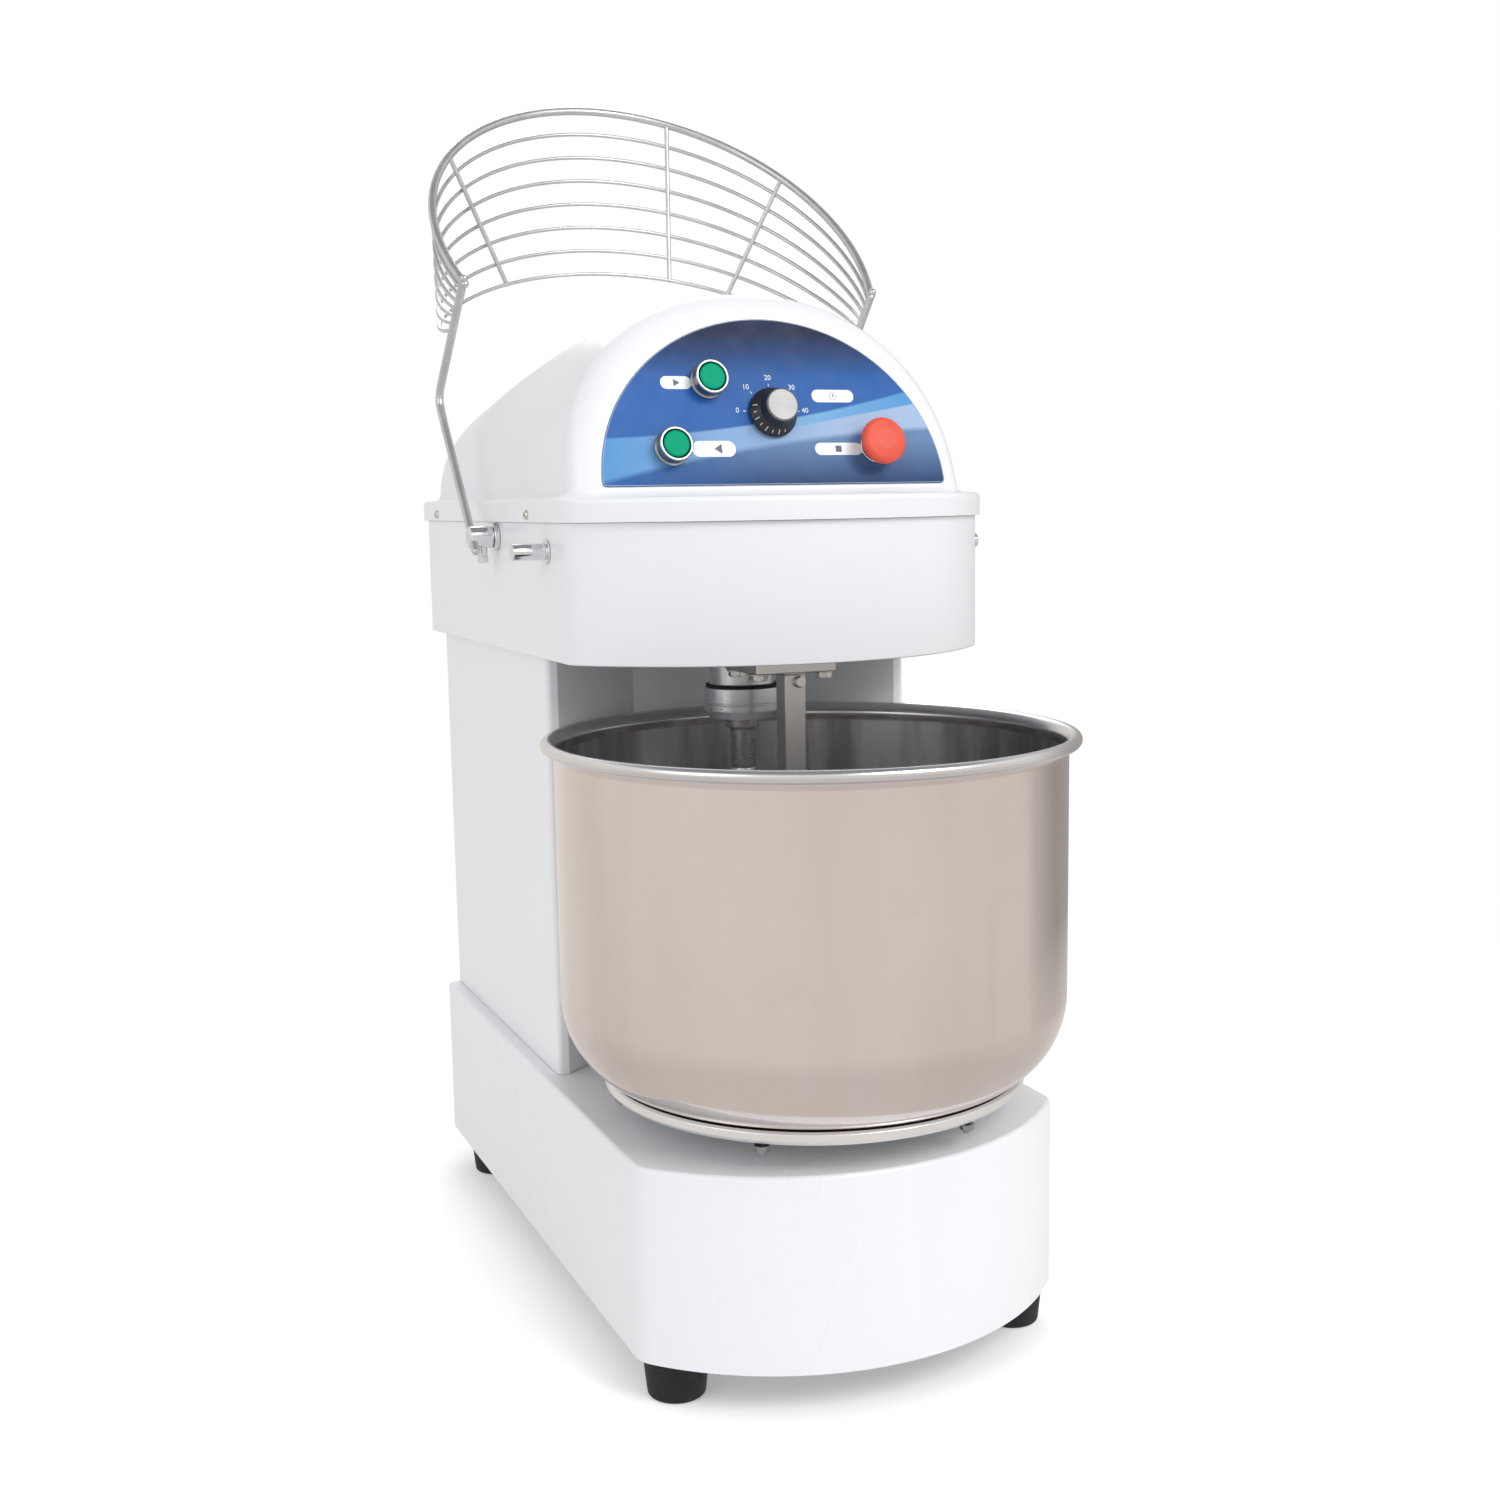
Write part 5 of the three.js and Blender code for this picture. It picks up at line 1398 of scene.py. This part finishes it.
# ---------- nodes kept from the CAD ----------
def dress_cad_nodes():
    """CAD nodes that stay get the material of their slot in the record."""
    for part in frame["record"]["subparts"]:
        thing = frame["nodes"][part["node"]]
        thing.data.materials.clear()
        thing.data.materials.append(LOOKS[part["material_slot"]])


# ---------- studio ----------
WORLD_STRENGTH = 0.75
FLOOR_GLOW = 0.3
REFLECTED_WALL = (0.80, 0.76, 0.72)
REFLECTED_FLOOR = (0.68, 0.64, 0.61)
REFLECTED_BAND = (0.90, 0.89, 0.88)
REFLECTED_CEILING = (0.30, 0.30, 0.31)
DIM_CORNER = Vector((math.sin(math.radians(55)), math.cos(math.radians(55)), 0))
LIGHTS = {"key": ((0.9, -2.4, 1.7), 1.6, 38, (1, 1, 1)),
          "fill": ((-2.4, -1.0, 1.0), 1.8, 9, (0.97, 0.98, 1.0)),
          "back": ((0.6, 2.4, 1.8), 1.6, 18, (1, 1, 1))}
LENS = 43.105
CAMERA_FROM_BOWL = (-0.58834, -1.26357, 0.66659)
CAMERA_TURN_DEG = (23.034, 7.934, -0.928)


def build_floor():
    """A pale floor that fades into the backdrop away from the machine."""
    data = bpy.data.meshes.new("studio_floor")
    rings, count, radius = 24, 96, 2.4
    points, faces = [Vector((0, 0, 0))], []
    for k in range(1, rings + 1):
        points += [Vector((p.x, p.y, 0)) for p in circle(radius * k / rings, count)]
    for i in range(count):
        faces.append((0, 1 + i, 1 + (i + 1) % count))
    for k in range(rings - 1):
        for i in range(count):
            j = (i + 1) % count
            near, far = 1 + k * count, 1 + (k + 1) * count
            faces.append((near + i, far + i, far + j, near + j))
    data.from_pydata(points, [], faces)
    thing = bpy.data.objects.new("studio_floor", data)
    bpy.context.scene.collection.objects.link(thing)
    s = Shader("pale_floor")
    length = s.add("ShaderNodeVectorMath", {0: s.place}, operation="LENGTH").outputs["Value"]
    color = s.mix(s.span(s.noise(3, 3)), (0.94, 0.94, 0.945), (0.96, 0.96, 0.962))
    toward = s.add("ShaderNodeNewGeometry").outputs["Incoming"]
    steepness = s.add("ShaderNodeSeparateXYZ", {0: toward}).outputs[2]
    mirrored = s.mix(s.span(steepness, 0, 1, 0.2, 0.6), REFLECTED_WALL, REFLECTED_FLOOR)
    rays = s.add("ShaderNodeLightPath").outputs
    in_mirror = rays["Is Glossy Ray"]
    glow = s.math("ADD", s.math("MULTIPLY", rays["Is Camera Ray"], FLOOR_GLOW), in_mirror)
    s.set(base_color=s.mix(in_mirror, color, (0, 0, 0)), roughness=0.9, specular_ior_level=0.0,
          alpha=s.span(length, 1, 0, 0.75, 1.5), emission_color=s.mix(in_mirror, color, mirrored),
          emission_strength=glow)
    data.materials.append(s.material)


def build_world():
    """White to the eye and an even soft light. Mirrors see a warm floor and wall, a bright band above
    them, a dark ceiling and one dim corner."""
    world = bpy.data.worlds.new("studio")
    bpy.context.scene.world = world
    world.use_nodes = True
    tree = world.node_tree
    tree.nodes.clear()

    def background(color, strength):
        node = tree.nodes.new("ShaderNodeBackground")
        node.inputs["Color"].default_value = (*color, 1)
        node.inputs["Strength"].default_value = strength
        return node

    def switch(share, off, on):
        node = tree.nodes.new("ShaderNodeMixShader")
        tree.links.new(share, node.inputs[0])
        tree.links.new(off.outputs[0], node.inputs[1])
        tree.links.new(on.outputs[0], node.inputs[2])
        return node

    path = tree.nodes.new("ShaderNodeLightPath")
    place = tree.nodes.new("ShaderNodeTexCoord")
    split = tree.nodes.new("ShaderNodeSeparateXYZ")
    tree.links.new(place.outputs["Generated"], split.inputs[0])
    height = tree.nodes.new("ShaderNodeMapRange")
    height.inputs["From Min"].default_value = -1
    tree.links.new(split.outputs[2], height.inputs["Value"])
    ramp = tree.nodes.new("ShaderNodeValToRGB")
    tree.links.new(height.outputs[0], ramp.inputs[0])
    stops = ((0.0, REFLECTED_FLOOR), (0.27, REFLECTED_FLOOR), (0.38, REFLECTED_WALL),
             (0.60, REFLECTED_WALL), (0.80, REFLECTED_BAND), (0.90, REFLECTED_CEILING),
             (1.0, REFLECTED_CEILING))
    for position, _ in stops[1:-1]:
        ramp.color_ramp.elements.new(position)
    for element, (position, color) in zip(ramp.color_ramp.elements, stops):
        element.position = position
        element.color = (*color, 1)
    toward_corner = tree.nodes.new("ShaderNodeVectorMath")
    toward_corner.operation = "DOT_PRODUCT"
    toward_corner.inputs[1].default_value = DIM_CORNER
    tree.links.new(place.outputs["Generated"], toward_corner.inputs[0])
    dim = tree.nodes.new("ShaderNodeMapRange")
    for socket, value in (("From Min", 0.72), ("From Max", 0.95), ("To Min", 1.0), ("To Max", 0.5)):
        dim.inputs[socket].default_value = value
    tree.links.new(toward_corner.outputs["Value"], dim.inputs["Value"])
    mirrored = background((1, 1, 1), 1.0)
    tree.links.new(ramp.outputs[0], mirrored.inputs["Color"])
    tree.links.new(dim.outputs[0], mirrored.inputs["Strength"])
    soft = background((0.975, 0.98, 1.0), WORLD_STRENGTH)
    lit = switch(path.outputs["Is Glossy Ray"], soft, mirrored)
    seen = switch(path.outputs["Is Camera Ray"], lit, background((1, 1, 1), 1.0))
    out = tree.nodes.new("ShaderNodeOutputWorld")
    tree.links.new(seen.outputs[0], out.inputs["Surface"])


def build_lights():
    """Round area lights that face the middle of the machine."""
    for name, (offset, size, power, color) in LIGHTS.items():
        data = bpy.data.lights.new(name, "AREA")
        data.shape = "DISK"
        data.size = size
        data.energy = power
        data.color = color
        light = bpy.data.objects.new(name, data)
        light.location = (cad_low + cad_high) / 2 + Vector(offset)
        light.rotation_euler = (-Vector(offset)).to_track_quat("-Z", "Y").to_euler()
        bpy.context.scene.collection.objects.link(light)


def build_camera():
    """Standing at the front left, a little above the bowl, looking slightly down."""
    data = bpy.data.cameras.new("camera")
    data.sensor_width = 36
    data.lens = LENS
    camera = bpy.data.objects.new("camera", data)
    yaw, pitch, roll = (math.radians(a) for a in CAMERA_TURN_DEG)
    forward = Vector((math.sin(yaw) * math.cos(pitch), math.cos(yaw) * math.cos(pitch),
                      -math.sin(pitch)))
    level = Vector((math.cos(yaw), -math.sin(yaw), 0))
    upward = level.cross(forward)
    right = level * math.cos(roll) + upward * math.sin(roll)
    up = upward * math.cos(roll) - level * math.sin(roll)
    turn = Matrix((right, up, -forward)).transposed()
    place = Vector(CAMERA_FROM_BOWL) + Vector((0, BOWL_Y * MM, 0))
    camera.matrix_world = Matrix.Translation(place) @ turn.to_4x4()
    bpy.context.scene.collection.objects.link(camera)
    bpy.context.scene.camera = camera


# ---------- the whole machine ----------
for build in (build_base, build_feet, build_column, build_rear_cover, build_head, build_top_cover,
              build_panel, build_labels, build_dial, build_buttons, build_timer, build_bowl, build_hook,
              build_dough_bar, build_guard, build_cable, dress_cad_nodes, build_floor, build_world,
              build_lights, build_camera):
    build()
bpy.context.scene.view_settings.view_transform = "Standard"
